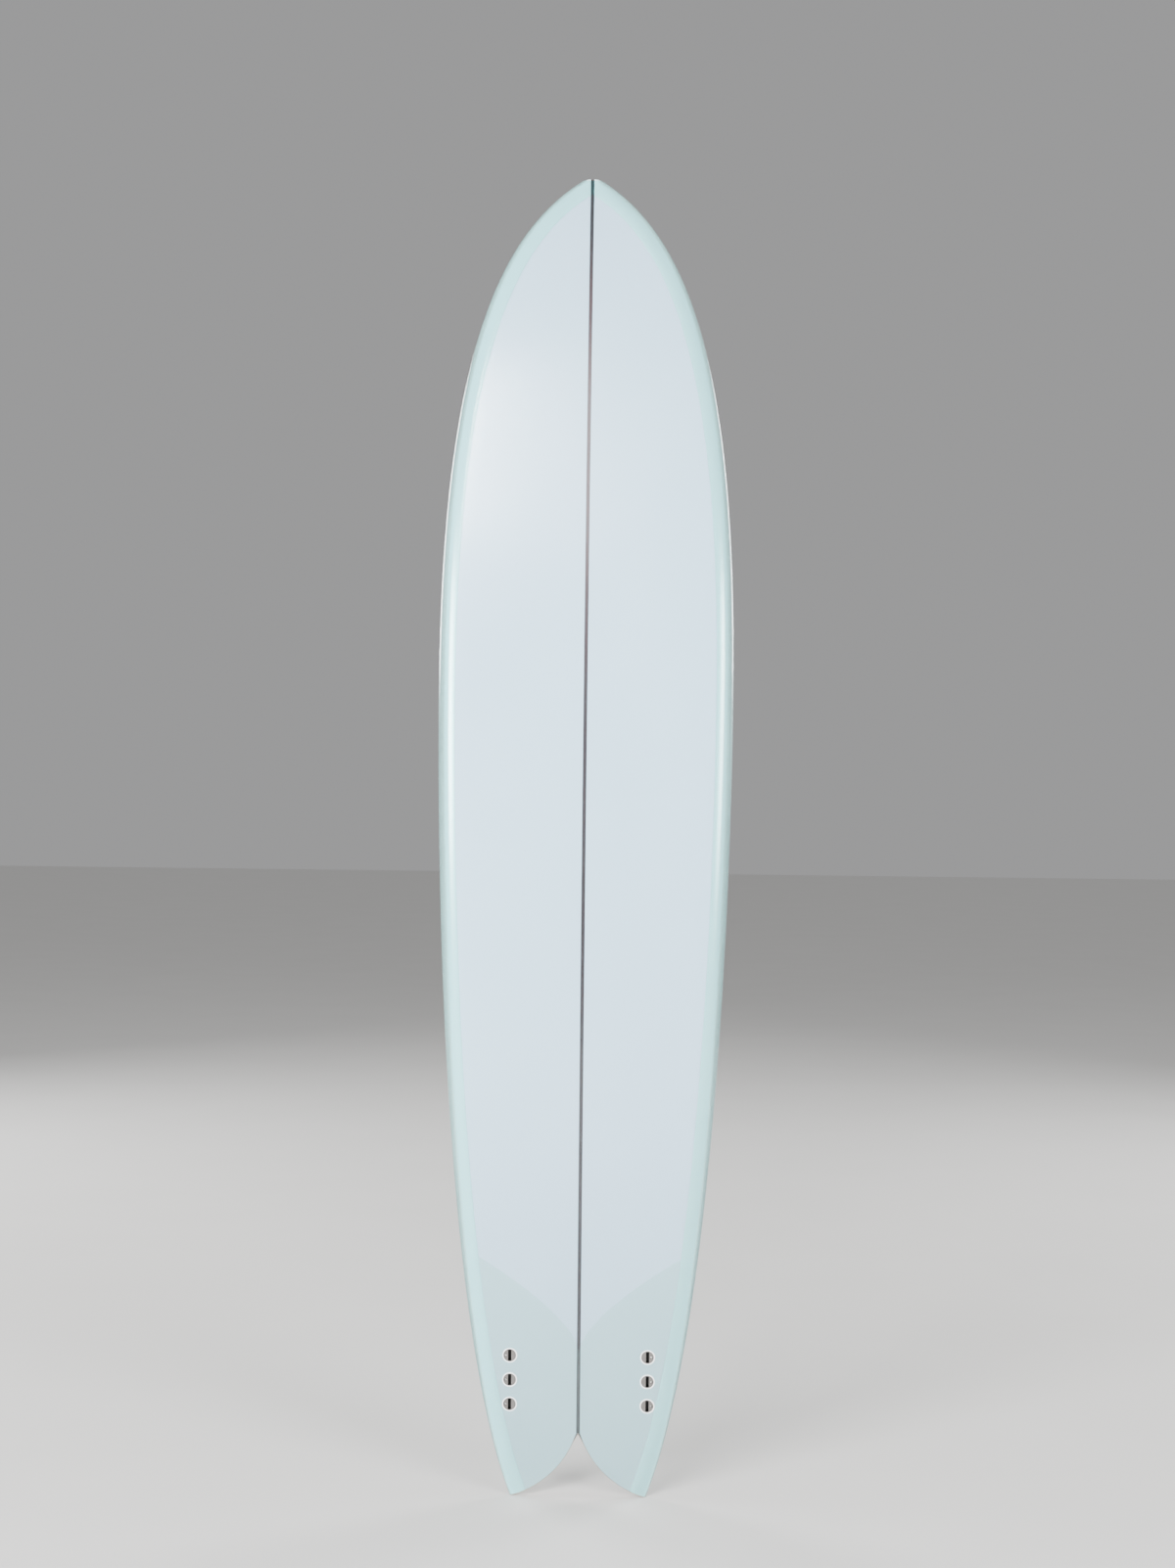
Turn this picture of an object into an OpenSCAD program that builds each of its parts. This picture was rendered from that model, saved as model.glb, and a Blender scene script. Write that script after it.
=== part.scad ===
// Swallow-tail fish surfboard, stood on its tail.
// Millimetres. +Z runs along the board to the nose, the bottom faces -Y and the deck faces +Y.
// The board is mirrored about the plane X = 0, which is the middle of the stringer.

/* [Board outline] */
// Length from the tail tips to the nose tip
board_length = 2438; // [2000:1:3000]
// Width at the wide point
board_width = 539; // [440:1:660]
// Height of the wide point above the tail tips
wide_point = 1500; // [1150:1:1800]
// Fullness of the nose: where the outline turns in, as a share of the half width
nose_fullness = 0.664; // [0.5:0.002:0.8]
// Half width left at the very tip of the nose
nose_tip_half = 12.5; // [10:0.5:20]
// Distance from one tail tip to the other
tail_tip_width = 250; // [200:1:310]
// Depth of the swallow cut, from the tips up to the crack
swallow_depth = 118; // [90:1:150]
// How far each swallow edge bulges out from a straight line
swallow_bulge = 21; // [10:1:30]

/* [Rocker and thickness] */
// Lift of the nose above the flat of the bottom
nose_rocker = 120; // [60:1:160]
// Lift of the tail above the flat of the bottom
tail_rocker = 55; // [20:1:80]
// Height of the flattest point of the bottom
flat_point = 1150; // [900:1:1400]
// Greatest thickness of the finished board
board_thickness = 73; // [60:1:90]
// Height of the thickest point
thick_point = 1260; // [1000:1:1500]
// Thickness at the nose tip
nose_thickness = 13; // [8:1:18]
// Thickness at the tail tips
tail_thickness = 15; // [12:1:20]
// Width of the rounded edge under each rail
rail_tuck = 34; // [20:1:45]
// Height of the widest line of the rail, as a share of the thickness
rail_height = 0.38; // [0.3:0.01:0.5]

/* [Stringer] */
// Thickness of the wooden stringer
stringer_w = 6.35; // [3:0.05:8]
// Thickness of each glue line beside it
glue_w = 0.3; // [0.2:0.05:0.6]

/* [Cloth and resin] */
// Thickness of the bottom laminate
bottom_glass = 0.8; // [0.5:0.1:1.2]
// Thickness of the deck laminate
deck_glass = 1.2; // [0.8:0.1:1.8]
// Width of the lap that each laminate turns over the rail
lap_width = 32; // [25:1:50]
// Thickness of each reinforcing patch
patch_glass = 0.4; // [0.2:0.1:0.8]
// Thickness of the resin tape on the cut edges of the tail
tape_w = 1; // [0.5:0.1:2]
// Height of the bare resin tip at the nose
nose_tip_h = 2.5; // [1.5:0.5:3.5]
// Height of the tail patch at the stringer
tail_patch_mid = 272; // [230:1:400]
// Height of the tail patch at the laps
tail_patch_side = 445; // [300:1:600]
// Height of the deck patch at the stringer
deck_patch_mid = 900; // [600:1:1100]

/* [Fin plugs] */
// Distance from the stringer to each row of plugs
plug_row = 126; // [105:1:130]
// Height of the rearmost plug
plug_first = 172; // [165:1:200]
// Distance between neighbouring plugs
plug_pitch = 45.5; // [40:0.5:60]
// Diameter of a plug's flange
plug_d = 23.5; // [21:0.5:26]
// Thickness of the flange
flange_h = 2.5; // [2:0.5:4]
// Step from the flange in to the plug's body
flange_step = 0.45; // [0.2:0.05:0.6]
// Depth of a plug
plug_depth = 17; // [15:0.5:20]
// Width of the fin slot
slot_w = 5.8; // [4.5:0.1:7]
// Wall left between the ends of the fin slot and the plug's edge
slot_wall = 1.45; // [1:0.05:2]
// Depth of the fin slot
slot_depth = 14; // [12:0.5:16]
// Width of the white resin ring around a plug
ring_w = 1.75; // [1.25:0.05:2.5]
// Resin under a plug
ring_floor = 2; // [1:0.5:3]

/* [Grub screws] */
// Diameter of a grub screw
screw_d = 4; // [3:0.1:4.6]
// Length of a grub screw
screw_len = 6; // [5:0.1:6.2]
// Lean of the screw, away from the plug's axis
screw_lean = 28; // [24:1:30]
// Distance of the screw's mouth from the plug's edge
screw_edge = 3.75; // [3.3:0.05:4.1]
// How deep the screw's end lies below the mouth
screw_sunk = 0.5; // [0.2:0.1:0.6]
// How far the screw turns in and out from rest
screw_travel = 3; // [1:0.5:4]
// Hexagon socket, across its corners
hex_d = 2.3; // [1.5:0.1:2.6]
// Depth of the hexagon socket
hex_depth = 2.5; // [1.5:0.5:4]
// Running clearance around the screw
screw_gap = 0.05; // [0.02:0.01:0.1]

/* [Leash plug] */
// Distance from the stringer to the leash plug
leash_x = 28; // [26:1:60]
// Height of the leash plug
leash_z = 235; // [215:1:300]
// Diameter of its flange
leash_flange_d = 38; // [34:1:42]
// Thickness of its flange
leash_flange_h = 2; // [2:0.5:3]
// Outer diameter of the cup
cup_d = 29; // [26:0.5:32]
// Wall of the cup
cup_wall = 2.5; // [2:0.5:3]
// Depth of the cup, with its floor
cup_depth = 18; // [16:0.5:20]
// Diameter of the steel bar across the cup
bar_d = 3.5; // [3:0.1:5]
// Depth of the bar's middle below the deck
bar_depth = 6; // [5:0.5:8]
// Clearance around the bar in the cup's wall
bar_gap = 0.02; // [0.01:0.01:0.05]

/* [Hidden] */
LEFT = -1;
RIGHT = 1;

half_w = board_width / 2;
core_x = stringer_w / 2 + glue_w;                 // where each foam half starts
foam_top = board_length - nose_tip_h;             // where foam and laminates end at the nose
crack_z = swallow_depth;                          // bottom of the swallow cut
foam_inset = bottom_glass + deck_glass;           // glass outside the foam at the rail

// ---------------------------------------------------------------- outline
// Handles of the two curves of the outline, each as [height, half width].
tail_curve = [
    [0, tail_tip_width / 2],
    [wide_point * 0.22, tail_tip_width / 2 + (half_w - tail_tip_width / 2) * 0.893],
    [wide_point * 0.807, half_w],
    [wide_point, half_w],
];
nose_curve = [
    [wide_point, half_w],
    [wide_point + (board_length - wide_point) * 0.618, half_w],
    [board_length - (board_length - wide_point) * 0.11, half_w * nose_fullness],
    [board_length, nose_tip_half],
];
nose_round = 4;                                   // length of the rounding at the very tip

function bezier(c, t) =
    pow(1 - t, 3) * c[0] + 3 * pow(1 - t, 2) * t * c[1]
    + 3 * (1 - t) * t * t * c[2] + pow(t, 3) * c[3];

// Half width of a curve at height z, found by halving the interval of t.
function curve_at(c, z, lo = 0, hi = 1, n = 22) =
    let (mid = (lo + hi) / 2)
    n == 0 ? bezier(c, mid)[1]
    : bezier(c, mid)[0] < z ? curve_at(c, z, mid, hi, n - 1) : curve_at(c, z, lo, mid, n - 1);

// Half width of the finished board.
function half_width(z) =
    z <= wide_point ? curve_at(tail_curve, z)
    : curve_at(nose_curve, z)
      * sqrt(1 - pow(max(0, z - board_length + nose_round) / nose_round, 2));

// Half width of the foam.
function foam_half(z) = half_width(z) - foam_inset;

// ------------------------------------------------------- rocker and section
function rocker(z) =
    z > flat_point ? nose_rocker * pow((z - flat_point) / (board_length - flat_point), 2.3)
    : tail_rocker * pow((flat_point - z) / flat_point, 2);

function rocker_slope(z) = (rocker(z + 1) - rocker(z - 1)) / 2;

function thickness(z) =
    z > thick_point
    ? nose_thickness + (board_thickness - nose_thickness)
      * (1 - pow((z - thick_point) / (board_length - thick_point), 2))
    : tail_thickness + (board_thickness - tail_thickness)
      * (1 - pow((thick_point - z) / thick_point, 2.2));

function foam_thickness(z) = thickness(z) - bottom_glass - deck_glass;
function apex_height(z) = foam_thickness(z) * rail_height;

// Foam surface on the bottom: flat, then tucked up in a quarter ellipse to the rail.
function foam_bottom(x, z) =
    let (w = foam_half(z), r = min(rail_tuck, 0.6 * w), d = max(0, r - (w - x)) / r)
    rocker(z) + bottom_glass + apex_height(z) * (1 - sqrt(max(0, 1 - d * d)));

// Foam surface on the deck: a dome that falls to the rail.
function foam_deck(x, z) =
    let (w = foam_half(z), f = min(1, max(0, x - core_x) / (w - core_x)))
    rocker(z) + bottom_glass + apex_height(z)
    + (foam_thickness(z) - apex_height(z)) * pow(1 - pow(f, 2.8), 0.62);

// -------------------------------------------------------------- swallow cut
// One arc from the crack beside the stringer to the tail tip.
tip_x = tail_tip_width / 2 - foam_inset;
chord = [tip_x - core_x, -crack_z];
chord_len = norm(chord);
arc_r = chord_len * chord_len / (8 * swallow_bulge) + swallow_bulge / 2;
arc_out = [-crack_z, -(tip_x - core_x)] / chord_len;  // points away from the board
arc_mid = [(core_x + tip_x) / 2, crack_z / 2 + tape_w];
arc_c = arc_mid - arc_out * (arc_r - swallow_bulge);

function arc_z(x) =
    x <= core_x ? crack_z + tape_w : arc_c[1] - sqrt(arc_r * arc_r - pow(x - arc_c[0], 2));
function arc_normal(x) =
    let (z = arc_z(x)) [x - arc_c[0], z - arc_c[1]] / norm([x - arc_c[0], z - arc_c[1]]);

// ------------------------------------------------------------ grid of points
// Columns run along the board at a set distance from the rail, rows run across it.
// Each column is [share between stringer and lap] or, past the lap line, [distance, least share].
mid_shares = [0, 0.28, 0.56, 0.8];
lap_in = lap_width - foam_inset;                  // lap line to the edge of the foam
rail_steps = [[lap_in, 0.36], [lap_in * 0.68, 0.55], [lap_in * 0.38, 0.72], [lap_in * 0.17, 0.87],
              [lap_in * 0.05, 0.96], [0, 1]];
lap_col = len(mid_shares);                        // index of the lap line
apex = len(mid_shares) + len(rail_steps) - 1;     // index of the widest line

function rail_x(k, z) =
    let (w = foam_half(z))
    max(w - rail_steps[k][0], core_x + rail_steps[k][1] * (w - core_x));
function column_x(j, z) =
    j >= lap_col ? rail_x(j - lap_col, z)
    : core_x + mid_shares[j] * (rail_x(0, z) - core_x);

// Height at which a column meets the swallow edge.
function column_end(j, lo = 0, hi = swallow_depth + tape_w, n = 24) =
    let (mid = (lo + hi) / 2)
    n == 0 ? mid
    : mid < arc_z(column_x(j, mid)) ? column_end(j, mid, hi, n - 1) : column_end(j, lo, mid, n - 1);
ends = [for (j = [0:apex]) j == 0 ? crack_z + tape_w : column_end(j)];

// Rows: straight ones up to the nose, and below them rows that bend into the swallow edge.
tail_join = 320;
tail_rows = [1, 0.95, 0.86, 0.7, 0.48, 0.24];
nose_rows = 30;
function row_z(i, j) =
    i < len(tail_rows) ? tail_join - (tail_join - ends[j]) * tail_rows[i]
    : tail_join + (foam_top - tail_join) * sin(90 * (i - len(tail_rows)) / nose_rows);
last_row = len(tail_rows) + nose_rows;

// The unrolled index u goes from the stringer on the bottom (0), round the rail (apex),
// to the stringer on the deck (2 * apex).
deck_mid = 2 * apex;
deck_lap = deck_mid - lap_col;
function col_of(u) = u <= apex ? u : deck_mid - u;

function foam_point(i, u) =
    let (j = col_of(u), z = row_z(i, j), x = column_x(j, z))
    [x, u <= apex ? foam_bottom(x, z) : foam_deck(x, z), z];
foam = [for (i = [0:last_row]) [for (u = [0:deck_mid]) foam_point(i, u)]];

// Outward direction of the section at each point, in X and Y.
function outward(i, u) =
    u == 0 ? [0, -1] : u == deck_mid ? [0, 1]
    : let (d = foam[i][u + 1] - foam[i][u - 1], l = norm([d[0], d[1]])) [d[1], -d[0]] / l;
normals = [for (i = [0:last_row]) [for (u = [0:deck_mid]) outward(i, u)]];

function bottom_cloth(u) = u < deck_lap ? bottom_glass : 0;
function deck_cloth(u) = u > lap_col ? deck_glass : 0;
function glass(u) = bottom_cloth(u) + deck_cloth(u);

// A point of the grid, t outside the foam, on one side of the stringer.
function grid(side, i, u, t) =
    let (p = foam[i][u], n = normals[i][u]) [side * (p[0] + n[0] * t), p[1] + n[1] * t, p[2]];

// ------------------------------------------------------------------- lofting
// Triangles between neighbouring rows of a ring. Each quad is split from its lower u in one row
// to its higher u in the next, so pieces that share a surface share its triangles.
function quad(i, a, b, n, ua, ub) =
    let (p = i * n + a, q = i * n + b, r = p + n, s = q + n)
    ua <= ub ? [[p, q, s], [p, s, r]] : [[p, q, r], [q, s, r]];
function walls(us, rows) =
    let (n = len(us))
    [for (i = [0:rows - 2], k = [0:n - 1])
        each quad(i, k, (k + 1) % n, n, us[k], us[(k + 1) % n])];
function flipped(f, yes) = yes ? [for (t = f) [t[0], t[2], t[1]]] : f;

// End of a ring, closed by strips between points that face each other. Each quad is split from
// the first point at its lower u to the second point at its higher u.
function strip(base, pairs, us = []) =
    [for (k = [0:len(pairs) - 2])
        let (a = base * [1, 1] + pairs[k], b = base * [1, 1] + pairs[k + 1],
             up = us == [] || us[k] < us[k + 1])
        each [
            if (a[0] != a[1]) [a[0], a[1], up ? b[1] : b[0]],
            if (b[0] != b[1]) [up ? a[0] : a[1], b[1], b[0]],
        ]];

// One half of the foam, from the glue line to the rail.
module foam_blank(side) {
    n = deck_mid + 1;
    points = [for (i = [0:last_row], u = [0:deck_mid]) grid(side, i, u, 0)];
    pairs = [for (j = [0:apex]) [j, deck_mid - j]];
    faces = concat(
        walls([for (u = [0:deck_mid]) u], last_row + 1),
        strip(0, pairs),
        flipped(strip(last_row * n, pairs), true));
    polyhedron(points, flipped(faces, side == RIGHT));
}

// A skin laid on the grid: path is a list of [side, u], and the first and last points of the
// path are feather edges, where the outside meets the inside.
module skin(path, inside, outside, rows = last_row + 1) {
    m = len(path);
    n = 2 * m - 2;
    back = [for (k = [m - 2:-1:1]) path[k]];
    ring_u = [for (p = concat(path, back)) p[1]];
    points = [for (i = [0:rows - 1])
        each concat(
            [for (p = path) grid(p[0], i, p[1], inside[p[1]])],
            [for (p = back) grid(p[0], i, p[1], outside[p[1]])])];
    pairs = [for (k = [0:m - 1]) [k, k == 0 || k == m - 1 ? k : n - k]];
    us = [for (p = path) p[1]];
    polyhedron(points, concat(
        walls(ring_u, rows),
        strip(0, pairs, us),
        flipped(strip((rows - 1) * n, pairs, us), true)));
}

// ------------------------------------------------------------------ stringer
// Side view of the stringer and glue lines, drawn as [height, Y].
module stringer_profile() {
    bottom = [for (i = [0:last_row]) [foam[i][0][2], foam[i][0][1]]];
    deck = [for (i = [last_row:-1:0]) [foam[i][deck_mid][2], foam[i][deck_mid][1]]];
    polygon(concat(bottom, deck));
}

// A slab of that profile from x1 to x2.
module slab(x1, x2) {
    translate([x1, 0, 0]) rotate([0, -90, 0]) mirror([0, 0, 1])
        linear_extrude(x2 - x1) stringer_profile();
}

// ---------------------------------------------------------------- fin plugs
bottom_face = bottom_glass + patch_glass;         // foam to the outside, where the plugs are
plug_r = plug_d / 2;
slot_len = plug_d - 2 * slot_wall;
screw_offset = plug_r - screw_edge;               // from the slot's middle to the screw's mouth
ring_r = plug_r + ring_w;
pocket_depth = plug_depth + ring_floor;
cut = 5;                                          // how far a cut starts outside a surface

// Puts children on the finished bottom: local +Z points out, local +Y to the nose.
module at_plug(side, k) {
    z = plug_first + k * plug_pitch;
    out = [0, -1, rocker_slope(z)] / norm([1, rocker_slope(z)]);
    translate([side * plug_row, rocker(z), z] + out * patch_glass)
        rotate([90 - atan(rocker_slope(z)), 0, 0]) children();
}

// Profile shared by a plug and the resin around it.
module plug_profile() {
    body_r = plug_r - flange_step;
    polygon([[0, 0], [plug_r, 0], [plug_r, -flange_h], [body_r, -flange_h - flange_step],
             [body_r, -plug_depth], [0, -plug_depth]]);
}

module screw_axis(side) {
    translate([side * screw_offset, 0, 0]) rotate([0, side * screw_lean, 0]) children();
}

// The screw's hole breaks into the slot and ends just past the screw's furthest place.
screw_hole_len = screw_sunk + screw_len + screw_travel + 0.5;

module fin_plug(side, k) {
    color([0.64, 0.62, 0.61]) at_plug(side, k) difference() {
        rotate_extrude($fn = 72) plug_profile();
        translate([-slot_w / 2, -slot_len / 2, -slot_depth]) cube([slot_w, slot_len, slot_depth + cut]);
        screw_axis(side) translate([0, 0, -screw_hole_len])
            cylinder(r = screw_d / 2 + screw_gap, h = screw_hole_len + cut, $fn = 32);
    }
}

module plug_resin(side, k) {
    color([0.93, 0.95, 0.96]) at_plug(side, k) rotate_extrude($fn = 72) difference() {
        translate([0, -pocket_depth]) square([ring_r, pocket_depth]);
        plug_profile();
    }
}

module grub_screw(side, k) {
    color([0.8, 0.8, 0.82]) at_plug(side, k) screw_axis(side)
        translate([0, 0, -screw_sunk - screw_len]) difference() {
            cylinder(d = screw_d, h = screw_len, $fn = 32);
            translate([0, 0, screw_len - hex_depth]) cylinder(d = hex_d, h = hex_depth + 1, $fn = 6);
        }
}

module plug_pockets(side) {
    for (k = [0:2]) at_plug(side, k) translate([0, 0, -pocket_depth])
        cylinder(r = ring_r, h = pocket_depth + cut, $fn = 72);
}

// --------------------------------------------------------------- leash plug
deck_face = deck_glass + patch_glass;
cup_r = cup_d / 2;
leash_ring_r = cup_r + ring_w;
leash_pocket = cup_depth + ring_floor;

// Puts children on the finished deck: local +Z points out of the deck, local +Y to the tail.
module at_leash() {
    y = foam_deck(leash_x, leash_z) + deck_face;
    slope = (foam_deck(leash_x, leash_z + 1) - foam_deck(leash_x, leash_z - 1)) / 2;
    translate([LEFT * leash_x, y, leash_z]) rotate([-90 - atan(slope), 0, 0]) children();
}

module leash_cup() {
    color([0.85, 0.87, 0.88]) at_leash() difference() {
        rotate_extrude($fn = 72) polygon([
            [0, -cup_depth], [cup_r, -cup_depth], [cup_r, -leash_flange_h],
            [leash_flange_d / 2, -leash_flange_h], [leash_flange_d / 2, 0],
            [cup_r - cup_wall, 0], [cup_r - cup_wall, cup_wall - cup_depth], [0, cup_wall - cup_depth],
        ]);
        translate([0, 0, -bar_depth]) rotate([0, 90, 0])
            cylinder(r = bar_d / 2 + bar_gap, h = 2 * cup_r - cup_wall, center = true, $fn = 32);
    }
}

module leash_bar() {
    color([0.78, 0.78, 0.8]) at_leash() translate([0, 0, -bar_depth]) rotate([0, 90, 0])
        cylinder(d = bar_d, h = 2 * cup_r - cup_wall, center = true, $fn = 32);
}

module leash_cup_resin() {
    color([0.93, 0.95, 0.96]) at_leash() rotate_extrude($fn = 72) polygon([
        [0, -leash_pocket], [leash_ring_r, -leash_pocket], [leash_ring_r, -leash_flange_h],
        [cup_r, -leash_flange_h], [cup_r, -cup_depth], [0, -cup_depth],
    ]);
}

module leash_pocket_cut() {
    at_leash() {
        translate([0, 0, -leash_pocket]) cylinder(r = leash_ring_r, h = leash_pocket + cut, $fn = 72);
        translate([0, 0, -leash_flange_h])
            cylinder(d = leash_flange_d, h = leash_flange_h + cut, $fn = 72);
    }
}

// ------------------------------------------------------------ foam and glass
foam_colour = [0.93, 0.93, 0.88];

module foam_blank_left() {
    color(foam_colour) difference() {
        foam_blank(LEFT);
        plug_pockets(LEFT);
        leash_pocket_cut();
    }
}

module foam_blank_right() {
    color(foam_colour) difference() {
        foam_blank(RIGHT);
        plug_pockets(RIGHT);
    }
}

module stringer() {
    color([0.42, 0.28, 0.27]) slab(-stringer_w / 2, stringer_w / 2);
}

module glue_line_left() {
    color([0.25, 0.16, 0.15]) slab(-core_x, -stringer_w / 2);
}

module glue_line_right() {
    color([0.25, 0.16, 0.15]) slab(stringer_w / 2, core_x);
}

module bottom_laminate() {
    path = concat([for (u = [deck_lap:-1:0]) [LEFT, u]], [for (u = [0:deck_lap]) [RIGHT, u]]);
    color([0.84, 0.88, 0.9]) difference() {
        skin(path, [for (u = [0:deck_mid]) 0], [for (u = [0:deck_mid]) bottom_cloth(u)]);
        plug_pockets(LEFT);
        plug_pockets(RIGHT);
    }
}

module deck_laminate() {
    path = concat(
        [for (u = [lap_col:deck_mid]) [RIGHT, u]], [for (u = [deck_mid:-1:lap_col]) [LEFT, u]]);
    color([0.78, 0.89, 0.91]) difference() {
        skin(path, [for (u = [0:deck_mid]) bottom_cloth(u)], [for (u = [0:deck_mid]) glass(u)]);
        plug_pockets(LEFT);
        plug_pockets(RIGHT);
        leash_pocket_cut();
    }
}

// ------------------------------------------------------------------- patches
// Outline of a patch: low at the stringer and swept up to the laps.
module patch_outline(mid_z, side_z) {
    reach = half_width(side_z) - lap_width;
    steps = 10;
    rise = function (f) mid_z + (side_z - mid_z) * pow(f, 0.65);
    polygon(concat(
        [[-half_w, side_z], [-half_w, -cut], [half_w, -cut], [half_w, side_z]],
        [for (k = [steps:-1:1]) [reach * k / steps, rise(k / steps)]],
        [[0, mid_z]],
        [for (k = [1:steps]) [-reach * k / steps, rise(k / steps)]]));
}

// A flat-edged sheet on the outside of the glass between two columns of the grid.
module sheet(us, rows) {
    n = 4 * len(us);
    m = len(us);
    inner = concat([for (k = [m - 1:-1:0]) [LEFT, us[k]]], [for (u = us) [RIGHT, u]]);
    outer = [for (k = [2 * m - 1:-1:0]) inner[k]];
    points = [for (i = [0:rows - 1])
        each concat(
            [for (p = inner) grid(p[0], i, p[1], us[0] == 0 ? bottom_glass : deck_glass)],
            [for (p = outer) grid(p[0], i, p[1], us[0] == 0 ? bottom_face : deck_face)])];
    pairs = [for (k = [0:2 * m - 1]) [k, n - 1 - k]];
    polyhedron(points, flipped(concat(
        walls([for (p = concat(inner, outer)) p[1]], rows),
        strip(0, pairs),
        flipped(strip((rows - 1) * n, pairs), true)), us[0] != 0));
}

module tail_patch() {
    color([0.8, 0.87, 0.9]) difference() {
        intersection() {
            sheet([for (u = [0:lap_col]) u], len(tail_rows) + 4);
            translate([0, board_width / 2, 0]) rotate([90, 0, 0]) linear_extrude(board_width)
                patch_outline(tail_patch_mid, tail_patch_side);
        }
        plug_pockets(LEFT);
        plug_pockets(RIGHT);
    }
}

module deck_patch() {
    color([0.86, 0.92, 0.94]) difference() {
        intersection() {
            sheet([for (u = [deck_mid:-1:deck_lap]) u], len(tail_rows) + 12);
            translate([0, board_width / 2, 0]) rotate([90, 0, 0]) linear_extrude(board_width)
                patch_outline(deck_patch_mid, deck_patch_mid + 60);
        }
        leash_pocket_cut();
    }
}

// ------------------------------------------------------------- edges and tip
// Tape over the cut edge of one half of the swallow and over half of the stringer's end. Its inner
// face has a point for every layer that ends there, and splits each quad as the layers do.
module tail_edge_tape(side) {
    between = function (u) bottom_cloth(u) % glass(u) == 0 ? glass(u) / 2 : bottom_cloth(u);
    layers = function (u) [for (t = [glass(u), between(u), 0]) grid(side, 0, u, t)];
    ring = function (j)
        let (a = arc_normal(max(foam[0][j][0], core_x + 0.01)) * tape_w,
             deck = layers(deck_mid - j),
             inner = concat(layers(j), j == apex ? [] : [for (k = [2:-1:0]) deck[k]]))
        concat(inner, [for (k = [len(inner) - 1:-1:0]) inner[k] + [side * a[0], 0, a[1]]]);
    // The ring in the crack, straight down from the middle of the stringer.
    first = ring(0);
    crack = [for (k = [0:11])
        k < 6 ? [0, first[k][1], first[k][2]] : [0, first[11 - k][1], first[11 - k][2] - tape_w]];
    // Where the bottom and the deck meet, the two halves of a ring share their points.
    shared = [0, 1, 2, 2, 1, 0, 5, 4, 3, 3, 4, 5];
    faces = concat(
        [for (k = [0:4]) each [[k, k + 1, 10 - k], [k, 10 - k, 11 - k]]],
        [for (j = [0:apex], k = [0:11])
            let (m = (k + 1) % 12, p = 12 * j + k, q = 12 * j + m,
                 r = 12 * j + 12 + (j == apex ? shared[k] : k),
                 s = 12 * j + 12 + (j == apex ? shared[m] : m))
            each r == s ? [[p, r, q]]
            : k < 5 && k != 2 ? [[p, r, q], [q, r, s]] : [[p, r, s], [p, s, q]]]);
    color([0.8, 0.79, 0.74])
        polyhedron(concat(crack, [for (j = [0:apex]) each ring(j)]), flipped(faces, side == RIGHT));
}

module tail_edge_tape_left() { tail_edge_tape(LEFT); }
module tail_edge_tape_right() { tail_edge_tape(RIGHT); }

// Bare resin that closes the laminates at the nose.
module nose_resin_tip() {
    i = last_row;
    rim = concat(
        [for (u = [0:deck_mid]) grid(RIGHT, i, u, glass(u))],
        [for (u = [deck_mid:-1:0]) grid(LEFT, i, u, glass(u))]);
    n = len(rim);
    mid = [0, rocker(foam_top) + thickness(foam_top) * 0.45, foam_top];
    top = [for (p = rim) mid + (p - mid) * 0.6 + [0, 0, nose_tip_h]];
    color([0.3, 0.29, 0.31]) polyhedron(concat(rim, top, [mid, mid + [0, 0, nose_tip_h]]), concat(
        [for (k = [0:n - 1]) let (l = (k + 1) % n) each [[k, k + n, l + n], [k, l + n, l]]],
        [for (k = [0:n - 1]) [k, (k + 1) % n, 2 * n]],
        [for (k = [0:n - 1]) [(k + 1) % n + n, k + n, 2 * n + 1]]));
}

foam_blank_left();
foam_blank_right();
stringer();
glue_line_left();
glue_line_right();
bottom_laminate();
deck_laminate();
tail_patch();
deck_patch();
tail_edge_tape_left();
tail_edge_tape_right();
nose_resin_tip();
fin_plug(LEFT, 0);  // fin_plug_left_rear
fin_plug(LEFT, 1);  // fin_plug_left_middle
fin_plug(LEFT, 2);  // fin_plug_left_front
fin_plug(RIGHT, 0);  // fin_plug_right_rear
fin_plug(RIGHT, 1);  // fin_plug_right_middle
fin_plug(RIGHT, 2);  // fin_plug_right_front
plug_resin(LEFT, 0);  // plug_resin_left_rear
plug_resin(LEFT, 1);  // plug_resin_left_middle
plug_resin(LEFT, 2);  // plug_resin_left_front
plug_resin(RIGHT, 0);  // plug_resin_right_rear
plug_resin(RIGHT, 1);  // plug_resin_right_middle
plug_resin(RIGHT, 2);  // plug_resin_right_front
grub_screw(LEFT, 0);  // grub_screw_left_rear
grub_screw(LEFT, 1);  // grub_screw_left_middle
grub_screw(LEFT, 2);  // grub_screw_left_front
grub_screw(RIGHT, 0);  // grub_screw_right_rear
grub_screw(RIGHT, 1);  // grub_screw_right_middle
grub_screw(RIGHT, 2);  // grub_screw_right_front
leash_cup();
leash_cup_resin();
leash_bar();
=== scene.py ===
# %% [markdown]
# # A swallow-tail fish surfboard
# The board stands on its tail with its bottom to the camera. This lesson rebuilds it the way a
# glasser does: a foam blank sawn in two round a wooden stringer, a sheet of tinted cloth and resin
# on the bottom, a second one that wraps the deck and laps back over the rails, patches, tape, and
# the fin and leash hardware let into pockets. Every sheet is its own thin closed shell, so the
# laps look darker for the true reason: there are two layers of tint there.
# Lengths are in metres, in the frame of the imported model.

# %% Load the frame
import math

import bmesh
import bpy
import numpy as np
from mathutils import Matrix, Vector


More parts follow.
